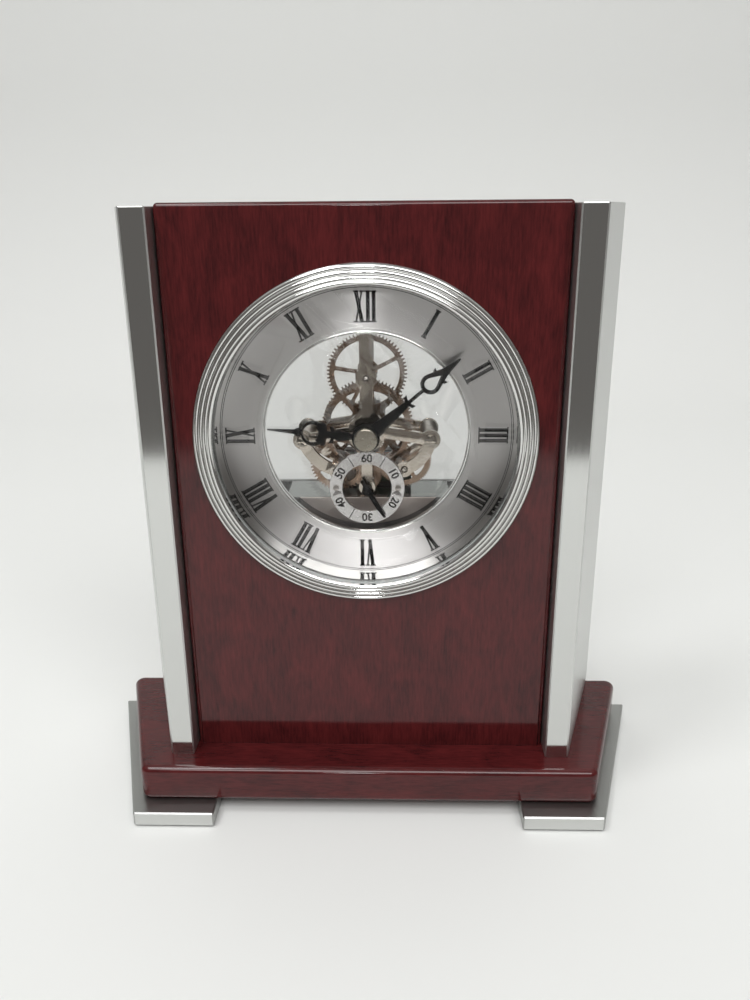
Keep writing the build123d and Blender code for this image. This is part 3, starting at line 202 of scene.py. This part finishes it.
def grained_wood(name, along):
    """Rosewood-stained veneer under a thick clear lacquer: fine dark pores along the grain, cloudy figure
    behind them, and a hard wet gloss on top."""
    material, tree, shader = finish(name, {
        "Roughness": 0.6, "Specular IOR Level": 0.0, "Coat Weight": 0.85, "Coat Roughness": 0.1, "Coat IOR": 1.5})
    place = add(tree, "ShaderNodeTexCoord")
    fine, broad = [1.0, 1.0, 1.0], [1.0, 1.0, 1.0]
    fine[along] = 0.12
    broad[along] = 0.5
    fine_place = add(tree, "ShaderNodeMapping", {"Vector": place.outputs["Object"], "Scale": fine})
    broad_place = add(tree, "ShaderNodeMapping", {"Vector": place.outputs["Object"], "Scale": broad})
    # pores about 0.3 mm wide and 3 mm long
    pores = add(tree, "ShaderNodeTexNoise",
                {"Vector": fine_place.outputs["Vector"], "Scale": 1 / (0.6 * MM), "Detail": 3.0, "Roughness": 0.6})
    # mottled figure about 9 mm across and 18 mm long
    figure = add(tree, "ShaderNodeTexNoise", {
        "Vector": broad_place.outputs["Vector"], "Scale": 1 / (9 * MM), "Detail": 5.0, "Roughness": 0.62,
        "Distortion": 0.8})
    blend = add(tree, "ShaderNodeMath", {0: pores.outputs["Fac"], 1: figure.outputs["Fac"]}, operation="ADD")
    half = add(tree, "ShaderNodeMath", {0: blend.outputs[0], 1: 0.5}, operation="MULTIPLY")
    dark, light = colours().wood_dark, colours().wood_light
    tint = add(tree, "ShaderNodeValToRGB", {"Fac": half.outputs[0]},
               stops=[(0.34, dark), (0.5, [0.5 * d + 0.5 * l for d, l in zip(dark, light)]), (0.68, light)])
    tree.links.new(tint.outputs["Color"], shader.inputs["Base Color"])
    return material


def drawn_metal(name, colour, roughness, along, line, depth):
    """Aluminium or steel with faint lines along its length from drawing or polishing."""
    material, tree, shader = finish(name, {"Base Color": rgba(colour), "Metallic": 1.0})
    place = add(tree, "ShaderNodeTexCoord")
    stretch = [1.0, 1.0, 1.0]
    stretch[along] = 0.01
    mapped = add(tree, "ShaderNodeMapping", {"Vector": place.outputs["Object"], "Scale": stretch})
    lines = add(tree, "ShaderNodeTexNoise", {"Vector": mapped.outputs["Vector"], "Scale": 1 / line, "Detail": 2.0})
    spread = add(tree, "ShaderNodeMapRange",
                 {"Value": lines.outputs["Fac"], "To Min": 0.8 * roughness, "To Max": 1.3 * roughness})
    bump = add(tree, "ShaderNodeBump", {"Height": lines.outputs["Fac"], "Distance": depth, "Strength": 0.5})
    tree.links.new(spread.outputs["Result"], shader.inputs["Roughness"])
    tree.links.new(bump.outputs["Normal"], shader.inputs["Normal"])
    return material


def grainy(name, colour, metallic, roughness, grit, depth, shine=0.5):
    """A surface with an even fine grit: bead-blasted metal, moulded plastic, paint or rubber."""
    material, tree, shader = finish(name, {"Metallic": metallic, "Specular IOR Level": shine})
    place = add(tree, "ShaderNodeTexCoord")
    specks = add(tree, "ShaderNodeTexNoise", {"Vector": place.outputs["Object"], "Scale": 1 / grit, "Detail": 3.0})
    cloud = add(tree, "ShaderNodeTexNoise", {"Vector": place.outputs["Object"], "Scale": 1 / (9 * MM), "Detail": 2.0})
    tint = add(tree, "ShaderNodeValToRGB", {"Fac": cloud.outputs["Fac"]},
               stops=[(0.3, [0.9 * c for c in colour]), (0.7, [min(1, 1.06 * c) for c in colour])])
    spread = add(tree, "ShaderNodeMapRange",
                 {"Value": specks.outputs["Fac"], "To Min": 0.85 * roughness, "To Max": 1.15 * roughness})
    bump = add(tree, "ShaderNodeBump", {"Height": specks.outputs["Fac"], "Distance": depth, "Strength": 0.6})
    tree.links.new(tint.outputs["Color"], shader.inputs["Base Color"])
    tree.links.new(spread.outputs["Result"], shader.inputs["Roughness"])
    tree.links.new(bump.outputs["Normal"], shader.inputs["Normal"])
    return material


def spun_metal(name, colour, roughness, pitch, depth, anisotropy, centre, dish=0.0):
    """Metal turned or spun about the dial's axis: fine rings that draw the light out into spokes. The dish is the
    slope by which the lowest part of the rings leans back, and it eases off towards the middle."""
    material, tree, shader = finish(name, {
        "Base Color": rgba(colour), "Metallic": 1.0, "Roughness": roughness, "Anisotropic": anisotropy,
        "Anisotropic Rotation": 0.25})
    place = add(tree, "ShaderNodeTexCoord")
    centred = add(tree, "ShaderNodeMapping", {"Vector": place.outputs["Object"], "Location": (0, 0, -centre)})
    flat = add(tree, "ShaderNodeVectorMath",
               {0: centred.outputs["Vector"], 1: (1, 0, 1)}, operation="MULTIPLY")
    radius = add(tree, "ShaderNodeVectorMath", {0: flat.outputs["Vector"]}, operation="LENGTH")
    # spun rings, drawn about four times as coarse as the real ones so that they show
    rings = add(tree, "ShaderNodeTexNoise", {"W": radius.outputs["Value"], "Scale": 1 / pitch, "Detail": 2.0},
                noise_dimensions="1D")
    groove = add(tree, "ShaderNodeMath", {0: rings.outputs["Fac"], 1: 0.5 * depth}, operation="MULTIPLY")
    apart = add(tree, "ShaderNodeSeparateXYZ", {"Vector": centred.outputs["Vector"]})
    below = add(tree, "ShaderNodeMath", {0: apart.outputs["Z"], 1: -1.0, 2: -18 * MM}, operation="MULTIPLY_ADD")
    eased = add(tree, "ShaderNodeMath", {0: below.outputs["Value"], 1: 0.0, 2: 18 * MM}, operation="SMOOTH_MAX")
    height = add(tree, "ShaderNodeMath", {0: eased.outputs["Value"], 1: dish, 2: groove.outputs["Value"]},
                 operation="MULTIPLY_ADD")
    bump = add(tree, "ShaderNodeBump", {"Height": height.outputs["Value"], "Distance": 1.0, "Strength": 1.0})
    tangent = add(tree, "ShaderNodeTangent", direction_type="RADIAL", axis="Y")
    tree.links.new(bump.outputs["Normal"], shader.inputs["Normal"])
    tree.links.new(tangent.outputs["Tangent"], shader.inputs["Tangent"])
    return material


def polished(name, colour, roughness):
    """Plated metal polished bright, with the faint cloudiness that handling leaves."""
    material, tree, shader = finish(name, {"Base Color": rgba(colour), "Metallic": 1.0})
    place = add(tree, "ShaderNodeTexCoord")
    cloud = add(tree, "ShaderNodeTexNoise", {"Vector": place.outputs["Object"], "Scale": 1 / (6 * MM), "Detail": 3.0})
    spread = add(tree, "ShaderNodeMapRange",
                 {"Value": cloud.outputs["Fac"], "To Min": 0.6 * roughness, "To Max": 1.5 * roughness})
    tree.links.new(spread.outputs["Result"], shader.inputs["Roughness"])
    return material


def clear_pane(name, colour, cover):
    """Thin clear pane: nearly all light goes straight through, with a faint gloss and tint."""
    return finish(name, {
        "Base Color": rgba(colour), "Roughness": 0.02, "IOR": 1.5, "Alpha": cover, "Transmission Weight": 1.0})[0]


def ink(name, colour):
    """Screen-printed ink, slightly glossy and uneven where it lies on metal."""
    return grainy(name, colour, 0.0, 0.5, 0.25 * MM, 0.002 * MM, shine=0.12)


def keep(name, shape, body, material, nodes, smooth_angle=30.0):
    """Turns a bmesh into a finished piece that rides on a body in place of its CAD nodes."""
    mesh = bpy.data.meshes.new(name)
    shape.to_mesh(mesh)
    shape.free()
    piece = bpy.data.objects.new(name, mesh)
    bpy.context.scene.collection.objects.link(piece)
    mesh.materials.append(material)
    mesh.shade_smooth()
    mesh.set_sharp_from_angle(angle=math.radians(smooth_angle))
    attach(piece, body)
    if nodes:
        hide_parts(*nodes)
    return piece


def body_of(node):
    return frame["nodes"][node]["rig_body"]


def merged(node):
    """A copy of a CAD node as one welded bmesh."""
    shape = bmesh.new()
    shape.from_mesh(frame["nodes"][node].data)
    bmesh.ops.remove_doubles(shape, verts=shape.verts, dist=0.002 * MM)
    return shape


def flat_regions(shape, least):
    """Groups of faces that lie in one plane and are larger than this together."""
    planes = {}
    for face in shape.faces:
        level = face.normal.dot(face.verts[0].co)
        key = (*(round(part, 3) for part in face.normal), round(level / (0.01 * MM)))
        planes.setdefault(key, []).append(face)
    return [faces for faces in planes.values() if sum(face.calc_area() for face in faces) > least]


def dress(node, material, bevel=0.0, hold=0.0, front=None, smooth_angle=30.0):
    """A smooth copy of a CAD node. A bevel eases its sharp edges, a holding edge keeps large flat faces flat
    beside rounded ones, and faces towards the viewer may take a finish of their own."""
    shape = merged(node)
    if bevel or hold:
        bmesh.ops.dissolve_limit(shape, angle_limit=math.radians(0.5), verts=shape.verts, edges=shape.edges)
    if bevel:
        sharp = [e for e in shape.edges if len(e.link_faces) == 2 and e.calc_face_angle() > math.radians(50)]
        bmesh.ops.bevel(shape, geom=sharp, offset=bevel, affect="EDGES", segments=2, profile=0.5, material=-1,
                        clamp_overlap=True)
    if hold:
        for faces in flat_regions(shape, (8 * MM) ** 2):
            bmesh.ops.inset_region(shape, faces=faces, thickness=hold, use_even_offset=True)
    if bevel or hold:
        bmesh.ops.triangulate(shape, faces=shape.faces)
    if front:
        for face in shape.faces:
            face.material_index = int(face.normal.y < -0.9)
    piece = keep(node + "_finished", shape, body_of(node), material, [node], smooth_angle)
    if front:
        piece.data.materials.append(front)
    return piece


def lathe(points, centre, steps=256):
    """A closed outline of (radius, depth) points spun about an axis parallel to Y."""
    shape = bmesh.new()
    corners = [shape.verts.new((radius, depth, centre.z)) for radius, depth in points]
    edges = [shape.edges.new((a, b)) for a, b in zip(corners, corners[1:] + corners[:1])]
    bmesh.ops.spin(shape, geom=corners + edges, cent=(0, 0, centre.z), axis=(0, 1, 0), angle=math.tau,
                   steps=steps, use_merge=True)
    bmesh.ops.remove_doubles(shape, verts=shape.verts, dist=0.001 * MM)
    bmesh.ops.recalc_face_normals(shape, faces=shape.faces)
    return shape


def bulge(start, end, crown, steps=8):
    """Points of a shallow rounded rib from one (radius, depth) point up to, but not at, another."""
    points = []
    for step in range(steps):
        share = step / steps
        lift = 4 * crown * share * (1 - share)
        points.append((start[0] + share * (end[0] - start[0]), start[1] + share * (end[1] - start[1]) - lift))
    return points


def stroke(shape, start, end, width, height):
    """A flat bar of ink from one point to another on the sheet that a figure is drawn on."""
    middle = (start + end) / 2
    turn = math.atan2(end.y - start.y, end.x - start.x)
    place = (Matrix.Translation((middle.x, middle.y, 0)) @ Matrix.Rotation(turn, 4, "Z")
             @ Matrix.Diagonal(((end - start).length, width, height, 1)))
    bmesh.ops.create_cube(shape, size=1.0, matrix=place)


def numeral(text):
    """A roman numeral with slab serifs, its foot on the line y = 0, centred on x = 0."""
    size = sizes()
    tall, thick, thin, ink_height = size.numeral_height, size.numeral_thick, size.numeral_thin, size.print_height
    serif = size.numeral_serif
    widths = {"I": 1.55 * MM, "V": 3.1 * MM, "X": 3.25 * MM}
    shape = bmesh.new()
    x = -sum(widths[letter] for letter in text) / 2

    def serifs(middle, reach, y):
        stroke(shape, Vector((middle - reach, y)), Vector((middle + reach, y)), serif, ink_height)

    for letter in text:
        wide = widths[letter]
        left, middle, right = x + 0.24 * wide, x + wide / 2, x + 0.76 * wide
        if letter == "I":
            stroke(shape, Vector((middle, 0)), Vector((middle, tall)), thick, ink_height)
            serifs(middle, 0.8 * MM, serif / 2)
            serifs(middle, 0.8 * MM, tall - serif / 2)
        elif letter == "V":
            stroke(shape, Vector((left, tall)), Vector((middle + 0.1 * MM, 0)), thick, ink_height)
            stroke(shape, Vector((right, tall)), Vector((middle, 0)), thin, ink_height)
            serifs(left, 0.85 * MM, tall - serif / 2)
            serifs(right, 0.6 * MM, tall - serif / 2)
        else:
            stroke(shape, Vector((left, tall)), Vector((right, 0)), thick, ink_height)
            stroke(shape, Vector((right, tall)), Vector((left, 0)), thin, ink_height)
            for foot in (serif / 2, tall - serif / 2):
                serifs(left, 0.75 * MM, foot)
                serifs(right, 0.75 * MM, foot)
        x += wide
    return shape


def seconds_figure(text):
    """A number in plain type, its foot on the line y = 0, centred on x = 0."""
    size = sizes()
    words = bpy.data.curves.new("figure", "FONT")
    words.body = text
    # a digit is about 0.7 of the type size tall
    words.size = 1.4 * size.seconds_height
    words.align_x = "CENTER"
    words.extrude = size.print_height / 2
    words.offset = FIGURE_WEIGHT
    drawn = bpy.data.objects.new("figure", words)
    bpy.context.scene.collection.objects.link(drawn)
    shape = bmesh.new()
    shape.from_mesh(drawn.to_mesh())
    drawn.to_mesh_clear()
    bpy.data.objects.remove(drawn)
    bpy.data.curves.remove(words)
    return shape


def onto_dial(shape, centre, face, radius, clock_angle):
    """Stands a figure drawn flat, feet inwards, on a dial at a clockwise angle from twelve."""
    upright = Matrix.Rotation(math.pi / 2, 4, "X")
    turn = Matrix.Rotation(math.radians(clock_angle), 4, "Y")
    place = Matrix.Translation((0, face, centre.z)) @ turn @ Matrix.Translation((0, 0, radius)) @ upright
    bmesh.ops.transform(shape, matrix=place, verts=shape.verts)
    return shape


def join(shapes):
    """Several bmeshes as one."""
    whole = bmesh.new()
    for shape in shapes:
        mesh = bpy.data.meshes.new("joined")
        shape.to_mesh(mesh)
        shape.free()
        whole.from_mesh(mesh)
        bpy.data.meshes.remove(mesh)
    return whole


class CLOCK_OT_stand(bpy.types.Operator):
    """Dress the wooden plinth and panel, the aluminium columns and feet, and the pads"""
    bl_idname = "clock.stand"
    bl_label = "Stand"

    def execute(self, context):
        edge = 0.2 * MM
        dress("front_panel", grained_wood("rosewood veneer, gloss lacquer, upright grain", 2), hold=edge)
        dress("base_plinth", grained_wood("rosewood veneer, gloss lacquer, level grain", 0), hold=edge)
        bar = drawn_metal("satin aluminium extrusion", colours().aluminium, 0.36, 2, 0.4 * MM, 0.006 * MM)
        mirror = drawn_metal("polished aluminium face", colours().aluminium, 0.09, 2, 0.5 * MM, 0.003 * MM)
        for side in ("right", "left"):
            dress(side + "_column", bar, bevel=edge, front=mirror, smooth_angle=15.0)
            dress(side + "_column_cap", bar)
        # the feet's top and sides take a darker copy of their aluminium as painted shade; the front faces keep the
        # plain satin colour
        ground = drawn_metal("aluminium bar with painted shade on top and sides", linear("#a9aaa8"), 0.34, 0, 0.3 * MM, 0.006 * MM)
        plate = drawn_metal("satin aluminium bar", colours().aluminium, 0.32, 0, 0.3 * MM, 0.006 * MM)
        for side in ("right", "left"):
            dress(side + "_foot", ground, bevel=edge, front=plate, smooth_angle=15.0)
        plug = grainy("sawn aluminium", linear("#a5a5a5"), 1.0, 0.4, 0.4 * MM, 0.01 * MM)
        dress("right_column_plug", plug)
        dress("left_column_plug", plug)
        rubber = grainy("black rubber", linear("#141414"), 0.0, 0.7, 0.4 * MM, 0.02 * MM)
        for node in ("foot_pads", "grip_band"):
            dress(node, rubber)
        steel = drawn_metal("zinc-plated steel", linear("#b9b9b6"), 0.3, 0, 0.3 * MM, 0.004 * MM)
        for node in ("foot_screws", "stand_screws", "bar_screw"):
            dress(node, steel)
        return {"FINISHED"}


class CLOCK_OT_bezel(bpy.types.Operator):
    """Turn the ribbed bezel, the reflector and the window lip, and fit the crystal"""
    bl_idname = "clock.bezel"
    bl_label = "Bezel"

    def execute(self, context):
        size = sizes()
        chrome = polished("chromium plate", colours().chrome, 0.07)
        low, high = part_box("bezel")
        panel_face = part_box("front_panel")[0].y
        glass_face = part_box("crystal")[0].y
        outer, seat = high.x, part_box("crystal")[1].x + CRYSTAL_FIT
        lip_face = low.y + size.rib_crown
        rim_face = panel_face - BEZEL_RIM
        first = BEZEL_LIP + size.lip_bead
        valleys = [(BEZEL_LIP, lip_face)]
        for rib in range(BEZEL_RIBS + 1):
            share = rib / BEZEL_RIBS
            valleys.append((first + share * (outer - first), lip_face + share * (rim_face - lip_face)))
        outline = []
        for start, end in zip(valleys, valleys[1:]):
            outline += bulge(start, end, size.rib_crown)
        outline += [(outer, rim_face), (outer, panel_face), (BEZEL_SKIRT, panel_face), (BEZEL_SKIRT, high.y),
                    (seat, high.y), (seat, glass_face), (BEZEL_LIP, glass_face)]
        keep("bezel_finished", lathe(outline, AXIS, TURNED_STEPS), "case", chrome, ["bezel"], 40.0)

        bright = polished("bright reflector plating", colours().chrome, 0.06)
        low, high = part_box("reflector_ring")
        outline = [(high.x, low.y), (high.x, high.y), (high.x - REFLECTOR_WALL_BACK, high.y),
                   (high.x - REFLECTOR_WALL_FRONT, low.y)]
        keep("reflector_finished", lathe(outline, AXIS, TURNED_STEPS), "case", bright,
             ["reflector_ring"])

        low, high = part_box("window_lip")
        flange, crown = high.x, (DIAL_FACE - low.y) / 2
        sleeve = WINDOW_RADIUS + WINDOW_SLEEVE
        outline = [(WINDOW_RADIUS, DIAL_FACE)]
        outline += bulge((WINDOW_RADIUS, DIAL_FACE - crown), (flange, DIAL_FACE), crown)
        outline += [(flange, DIAL_FACE), (sleeve, DIAL_FACE), (sleeve, high.y), (WINDOW_RADIUS, high.y)]
        keep("window_lip_finished", lathe(outline, AXIS, TURNED_STEPS), "case", chrome,
             ["window_lip"])
        dress("crystal", clear_pane("clear mineral glass", (1, 1, 1), 0.1))
        dress("crystal_gasket", grainy("pale vinyl gasket", linear("#c3c6c5"), 0.0, 0.45, 0.4 * MM, 0.01 * MM))
        return {"FINISHED"}


class CLOCK_OT_dial(bpy.types.Operator):
    """Turn the silver dial, print its numerals and paint the seam's shade at the foot of the reflector"""
    bl_idname = "clock.dial"
    bl_label = "Dial"

    def execute(self, context):
        size = sizes()
        silver = spun_metal("spun silvered brass", colours().dial, 0.32, 0.25 * MM, 0.004 * MM, 0.98, AXIS.z, dish=0.2)
        outer = (DIAL_HIGH.x - DIAL_LOW.x) / 2
        outline = [(DIAL_BORE, DIAL_FACE), (outer, DIAL_FACE), (outer, DIAL_HIGH.y), (DIAL_BORE, DIAL_HIGH.y)]
        keep("dial_finished", lathe(outline, AXIS, TURNED_STEPS), "case", silver, ["dial_ring"])
        # the same black ink prints the numerals and paints the seam's shade ring
        black = ink("black screen ink and painted seam shade", colours().ink)
        figures = ("XII", "I", "II", "III", "IIII", "V", "VI", "VII", "VIII", "IX", "X", "XI")
        shapes = [onto_dial(numeral(text), AXIS, DIAL_FACE - size.print_height / 2, size.numeral_inner, 30 * hour)
                  for hour, text in enumerate(figures)]
        # thin black ink ring at the foot of the reflector: painted shade of the seam where the reflector meets the
        # dial
        inside, outside = SEAM_SHADE_RADII
        seam_shade_face = DIAL_FACE - size.print_height
        shapes.append(lathe([(inside, DIAL_FACE), (outside, DIAL_FACE), (outside, seam_shade_face), (inside, seam_shade_face)], AXIS))
        keep("dial_numerals_and_seam_shade", join(shapes), "case", black, [])
        dress("carrier_ring", grainy("black moulded plastic ring", colours().plastic, 0.0, 0.5, 0.3 * MM, 0.01 * MM))
        return {"FINISHED"}


class CLOCK_OT_seconds_dial(bpy.types.Operator):
    """Turn the small seconds dial and print its figures"""
    bl_idname = "clock.seconds_dial"
    bl_label = "Seconds Dial"

    def execute(self, context):
        size = sizes()
        silver = spun_metal("spun silvered seconds ring", colours().dial, 0.2, 0.2 * MM, 0.004 * MM, 0.6,
                            SECONDS_AXIS.z)
        dress("subdial_ring", silver, bevel=0.2 * MM, smooth_angle=15.0)
        dress("subdial_screws", grainy("satin screw steel", linear("#8f8a85"), 1.0, 0.3, 0.3 * MM, 0.004 * MM))
        black = ink("black seconds ink", colours().ink)
        face = SECONDS_FACE - size.print_height / 2
        foot = FIGURE_RADIUS - size.seconds_height / 2
        shapes = [onto_dial(seconds_figure(text), SECONDS_AXIS, face, foot, 60 * place)
                  for place, text in enumerate(("60", "10", "20", "30", "40", "50"))]
        for angle in (30, 150, 210, 330):
            shape = bmesh.new()
            stroke(shape, Vector((0, 0)), Vector((0, TICK_LENGTH)), TICK_WIDTH, size.print_height)
            shapes.append(onto_dial(shape, SECONDS_AXIS, face, TICK_RADIUS, angle))
        keep("seconds_figures", join(shapes), "case", black, [])
        return {"FINISHED"}


class CLOCK_OT_plates(bpy.types.Operator):
    """Polish the movement's plates, pillars and battery box"""
    bl_idname = "clock.plates"
    bl_label = "Plates"

    def execute(self, context):
        nickel = polished("polished nickel plate", colours().nickel, 0.11)
        edge = sizes().edge_bevel
        dress("front_bridge", nickel, bevel=edge, smooth_angle=15.0)
        dress("back_plate", nickel, bevel=edge, smooth_angle=15.0)
        satin = polished("satin nickel pillar", linear("#d2cec6"), 0.34)
        for node in ("pillars", "spacers"):
            dress(node, satin)
        tin = polished("bright tinplate", linear("#a9adab"), 0.12)
        dull = grainy("satin nickel front", linear("#b5aca6"), 0.6, 0.42, 0.3 * MM, 0.004 * MM)
        dress("battery_box", tin, bevel=edge, front=dull, smooth_angle=15.0)
        steel = polished("polished screw steel", linear("#9d978e"), 0.14)
        dress("pillar_screws", steel)
        dress("pivot_bushes", polished("synthetic jewel", linear("#5f554d"), 0.1))
        return {"FINISHED"}


class CLOCK_OT_wheels(bpy.types.Operator):
    """Finish the train's wheels and arbors"""
    bl_idname = "clock.wheels"
    bl_label = "Wheels"

    def execute(self, context):
        brass = polished("nickelled brass wheel", colours().wheel, 0.22)
        for node in ("minute_wheel", "hour_wheel", "centre_wheel", "third_wheel", "seconds_wheel", "drive_wheel",
                     "cannon_pinion"):
            dress(node, brass)
        steel = polished("ground arbor steel", linear("#b5b2ad"), 0.2)
        for node in ("centre_arbor", "minute_arbor", "third_arbor", "seconds_arbor", "drive_arbor"):
            dress(node, steel)
        return {"FINISHED"}


class CLOCK_OT_hands(bpy.types.Operator):
    """Paint the hands and polish the nut"""
    bl_idname = "clock.hands"
    bl_label = "Hands"

    def execute(self, context):
        paint = grainy("black hand paint", linear("#080707"), 0.0, 0.45, 0.3 * MM, 0.003 * MM, shine=0.2)
        for node in ("minute_hand", "hour_hand", "second_hand"):
            dress(node, paint)
        dress("hand_nut", grainy("satin nickel nut", linear("#9f998d"), 1.0, 0.28, 0.9 * MM, 0.06 * MM))
        return {"FINISHED"}


class CLOCK_OT_back(bpy.types.Operator):
    """Finish the tube, the back, the battery and the motor"""
    bl_idname = "clock.back"
    bl_label = "Back"

    def execute(self, context):
        plastic = grainy("black moulded plastic", colours().plastic, 0.0, 0.5, 0.35 * MM, 0.015 * MM)
        for node in ("case_tube", "rear_cover", "battery_cover", "motor_housing", "setting_knob"):
            dress(node, plastic)
        dress("rear_lens", clear_pane("clear acrylic back", linear("#9a9c9b"), 0.27))
        dress("battery", grainy("grey cell sleeve", linear("#5c5c60"), 0.4, 0.35, 0.4 * MM, 0.002 * MM))
        spring = polished("plated contact spring", linear("#c9c7c0"), 0.2)
        dress("positive_contact", spring)
        dress("negative_contact", spring)
        dress("motor_coil", drawn_metal("enamelled copper wire", linear("#b56b41"), 0.3, 1, 0.2 * MM, 0.05 * MM))
        iron = grainy("soft iron", linear("#7d7b78"), 1.0, 0.4, 0.3 * MM, 0.004 * MM)
        dress("motor_stator", iron)
        dress("motor_rotor", iron)
        dress("circuit_board", grainy("green laminate", linear("#173a26"), 0.0, 0.4, 0.5 * MM, 0.004 * MM))
        return {"FINISHED"}


def floor_card():
    """A plain pale card. Its back is see-through, so that the clock's back can be looked at."""
    card, tree, shader = finish("matte white card", {
        "Base Color": rgba(colours().floor), "Roughness": 0.8, "Specular IOR Level": 0.2})
    side = add(tree, "ShaderNodeNewGeometry")
    clear = add(tree, "ShaderNodeBsdfTransparent")
    mixed = add(tree, "ShaderNodeMixShader",
                {"Fac": side.outputs["Backfacing"], 1: shader.outputs["BSDF"], 2: clear.outputs["BSDF"]})
    tree.links.new(mixed.outputs["Shader"], tree.nodes["Material Output"].inputs["Surface"])
    return card


def lay_floor(scene):
    """Floor, a wide cove and a wall in one sheet."""
    turns = [math.radians(7.5 * step) for step in range(13)]
    profile = [(FLOOR_FRONT, 0.0)]
    profile += [(COVE_FOOT + COVE_RADIUS * math.sin(turn), COVE_RADIUS - COVE_RADIUS * math.cos(turn))
                for turn in turns]
    profile.append((COVE_FOOT + COVE_RADIUS, WALL_TOP))
    shape = bmesh.new()
    line = [shape.verts.new((-FLOOR_REACH, y, z)) for y, z in profile]
    edges = [shape.edges.new(pair) for pair in zip(line, line[1:])]
    swept = bmesh.ops.extrude_edge_only(shape, edges=edges)
    moved = [v for v in swept["geom"] if isinstance(v, bmesh.types.BMVert)]
    bmesh.ops.translate(shape, verts=moved, vec=(2 * FLOOR_REACH, 0, 0))
    shape.normal_update()
    if sum(face.normal.z - face.normal.y for face in shape.faces) < 0:
        bmesh.ops.reverse_faces(shape, faces=shape.faces)
    mesh = bpy.data.meshes.new("floor")
    shape.to_mesh(mesh)
    shape.free()
    mesh.shade_smooth()
    mesh.materials.append(floor_card())
    floor = bpy.data.objects.new("floor", mesh)
    scene.collection.objects.link(floor)


def hang_lamps(scene):
    """A wide softbox in front, a smaller lamp overhead, a low spot for the dial and a light on the wall."""
    for name, place, aim, wide, tall, spread, power in (
            ("softbox", (0.1, -0.95, 1.2), (0, 0, 0.08), 1.4, 0.6, 180.0, 14.5),
            ("overhead", (-0.42, -0.3, 1.2), (0, 0, 0), 0.22, 0.4, 180.0, 3.5),
            ("spot", (-0.05, -1.15, 0.5), (0, 0, 0.1), 0.09, 0.09, 180.0, 0.9),
            ("background", (0.0, 0.62, 1.4), (0, 0.62, 0), 2.4, 0.5, 70.0, 1.3)):
        lamp = bpy.data.lights.new(name, "AREA")
        lamp.shape = "RECTANGLE"
        lamp.size, lamp.size_y, lamp.energy = wide, tall, power
        lamp.spread = math.radians(spread)
        holder = bpy.data.objects.new(name, lamp)
        scene.collection.objects.link(holder)
        holder.location = place
        holder.rotation_euler = (Vector(aim) - Vector(place)).to_track_quat("-Z", "Y").to_euler()


def light_surround(scene):
    """A world that is dim all round and paler overhead."""
    world = bpy.data.worlds.new("studio")
    scene.world = world
    world.use_nodes = True
    tree = world.node_tree
    way = add(tree, "ShaderNodeTexCoord")
    apart = add(tree, "ShaderNodeSeparateXYZ", {"Vector": way.outputs["Generated"]})
    sky = add(tree, "ShaderNodeValToRGB", {"Fac": apart.outputs["Z"]},
              stops=[(0.45, (0.155, 0.147, 0.14)), (0.8, (0.5, 0.5, 0.49))])
    tree.links.new(sky.outputs["Color"], tree.nodes["Background"].inputs["Color"])


def set_camera(scene):
    """The camera at the photograph's place, turned by its yaw, pitch and roll."""
    camera = bpy.data.cameras.new("photograph")
    camera.sensor_fit = "VERTICAL"
    camera.sensor_height = SENSOR
    camera.lens = CAMERA_FOCAL * SENSOR
    camera.clip_start = 0.01
    camera.dof.use_dof = False
    holder = bpy.data.objects.new("photograph", camera)
    scene.collection.objects.link(holder)
    level = math.cos(CAMERA_PITCH)
    forward = Vector((-math.sin(CAMERA_YAW) * level, math.cos(CAMERA_YAW) * level, -math.sin(CAMERA_PITCH)))
    right = Vector((math.cos(CAMERA_YAW), math.sin(CAMERA_YAW), 0))
    down = forward.cross(right)
    across = right * math.cos(CAMERA_ROLL) + down * math.sin(CAMERA_ROLL)
    up = right * math.sin(CAMERA_ROLL) - down * math.cos(CAMERA_ROLL)
    turn = Matrix((across, up, -forward)).transposed().to_4x4()
    holder.matrix_world = Matrix.Translation(CAMERA_PLACE) @ turn
    scene.camera = holder


class CLOCK_OT_stage(bpy.types.Operator):
    """Set the floor and backdrop, the lamps and the camera"""
    bl_idname = "clock.stage"
    bl_label = "Stage"

    def execute(self, context):
        scene = context.scene
        lay_floor(scene)
        hang_lamps(scene)
        light_surround(scene)
        set_camera(scene)
        scene.view_settings.view_transform = "Standard"
        return {"FINISHED"}


STEPS = ("stand", "bezel", "dial", "seconds_dial", "plates", "wheels", "hands", "back", "stage")


class CLOCK_PT_sidebar(bpy.types.Panel):
    """Lists the steps that finish the clock"""
    bl_idname = "CLOCK_PT_sidebar"
    bl_label = "Mantel Clock"
    bl_space_type = "VIEW_3D"
    bl_region_type = "UI"
    bl_category = "Mantel Clock"

    def draw(self, context):
        for group in (context.scene.clock_sizes, context.scene.clock_colours):
            box = self.layout.box()
            for name in group.__annotations__:
                box.prop(group, name)
        for step in STEPS:
            self.layout.operator("clock." + step)


CLASSES = (ClockSizes, ClockColours, CLOCK_OT_stand, CLOCK_OT_bezel, CLOCK_OT_dial, CLOCK_OT_seconds_dial,
           CLOCK_OT_plates, CLOCK_OT_wheels, CLOCK_OT_hands, CLOCK_OT_back, CLOCK_OT_stage, CLOCK_PT_sidebar)


def register():
    for cls in CLASSES:
        bpy.utils.register_class(cls)
    bpy.types.Scene.clock_sizes = PointerProperty(type=ClockSizes)
    bpy.types.Scene.clock_colours = PointerProperty(type=ClockColours)


def unregister():
    del bpy.types.Scene.clock_colours
    del bpy.types.Scene.clock_sizes
    for cls in reversed(CLASSES):
        bpy.utils.unregister_class(cls)


def main():
    register()
    for step in STEPS:
        getattr(bpy.ops.clock, step)()


if __name__ == "__main__":
    main()
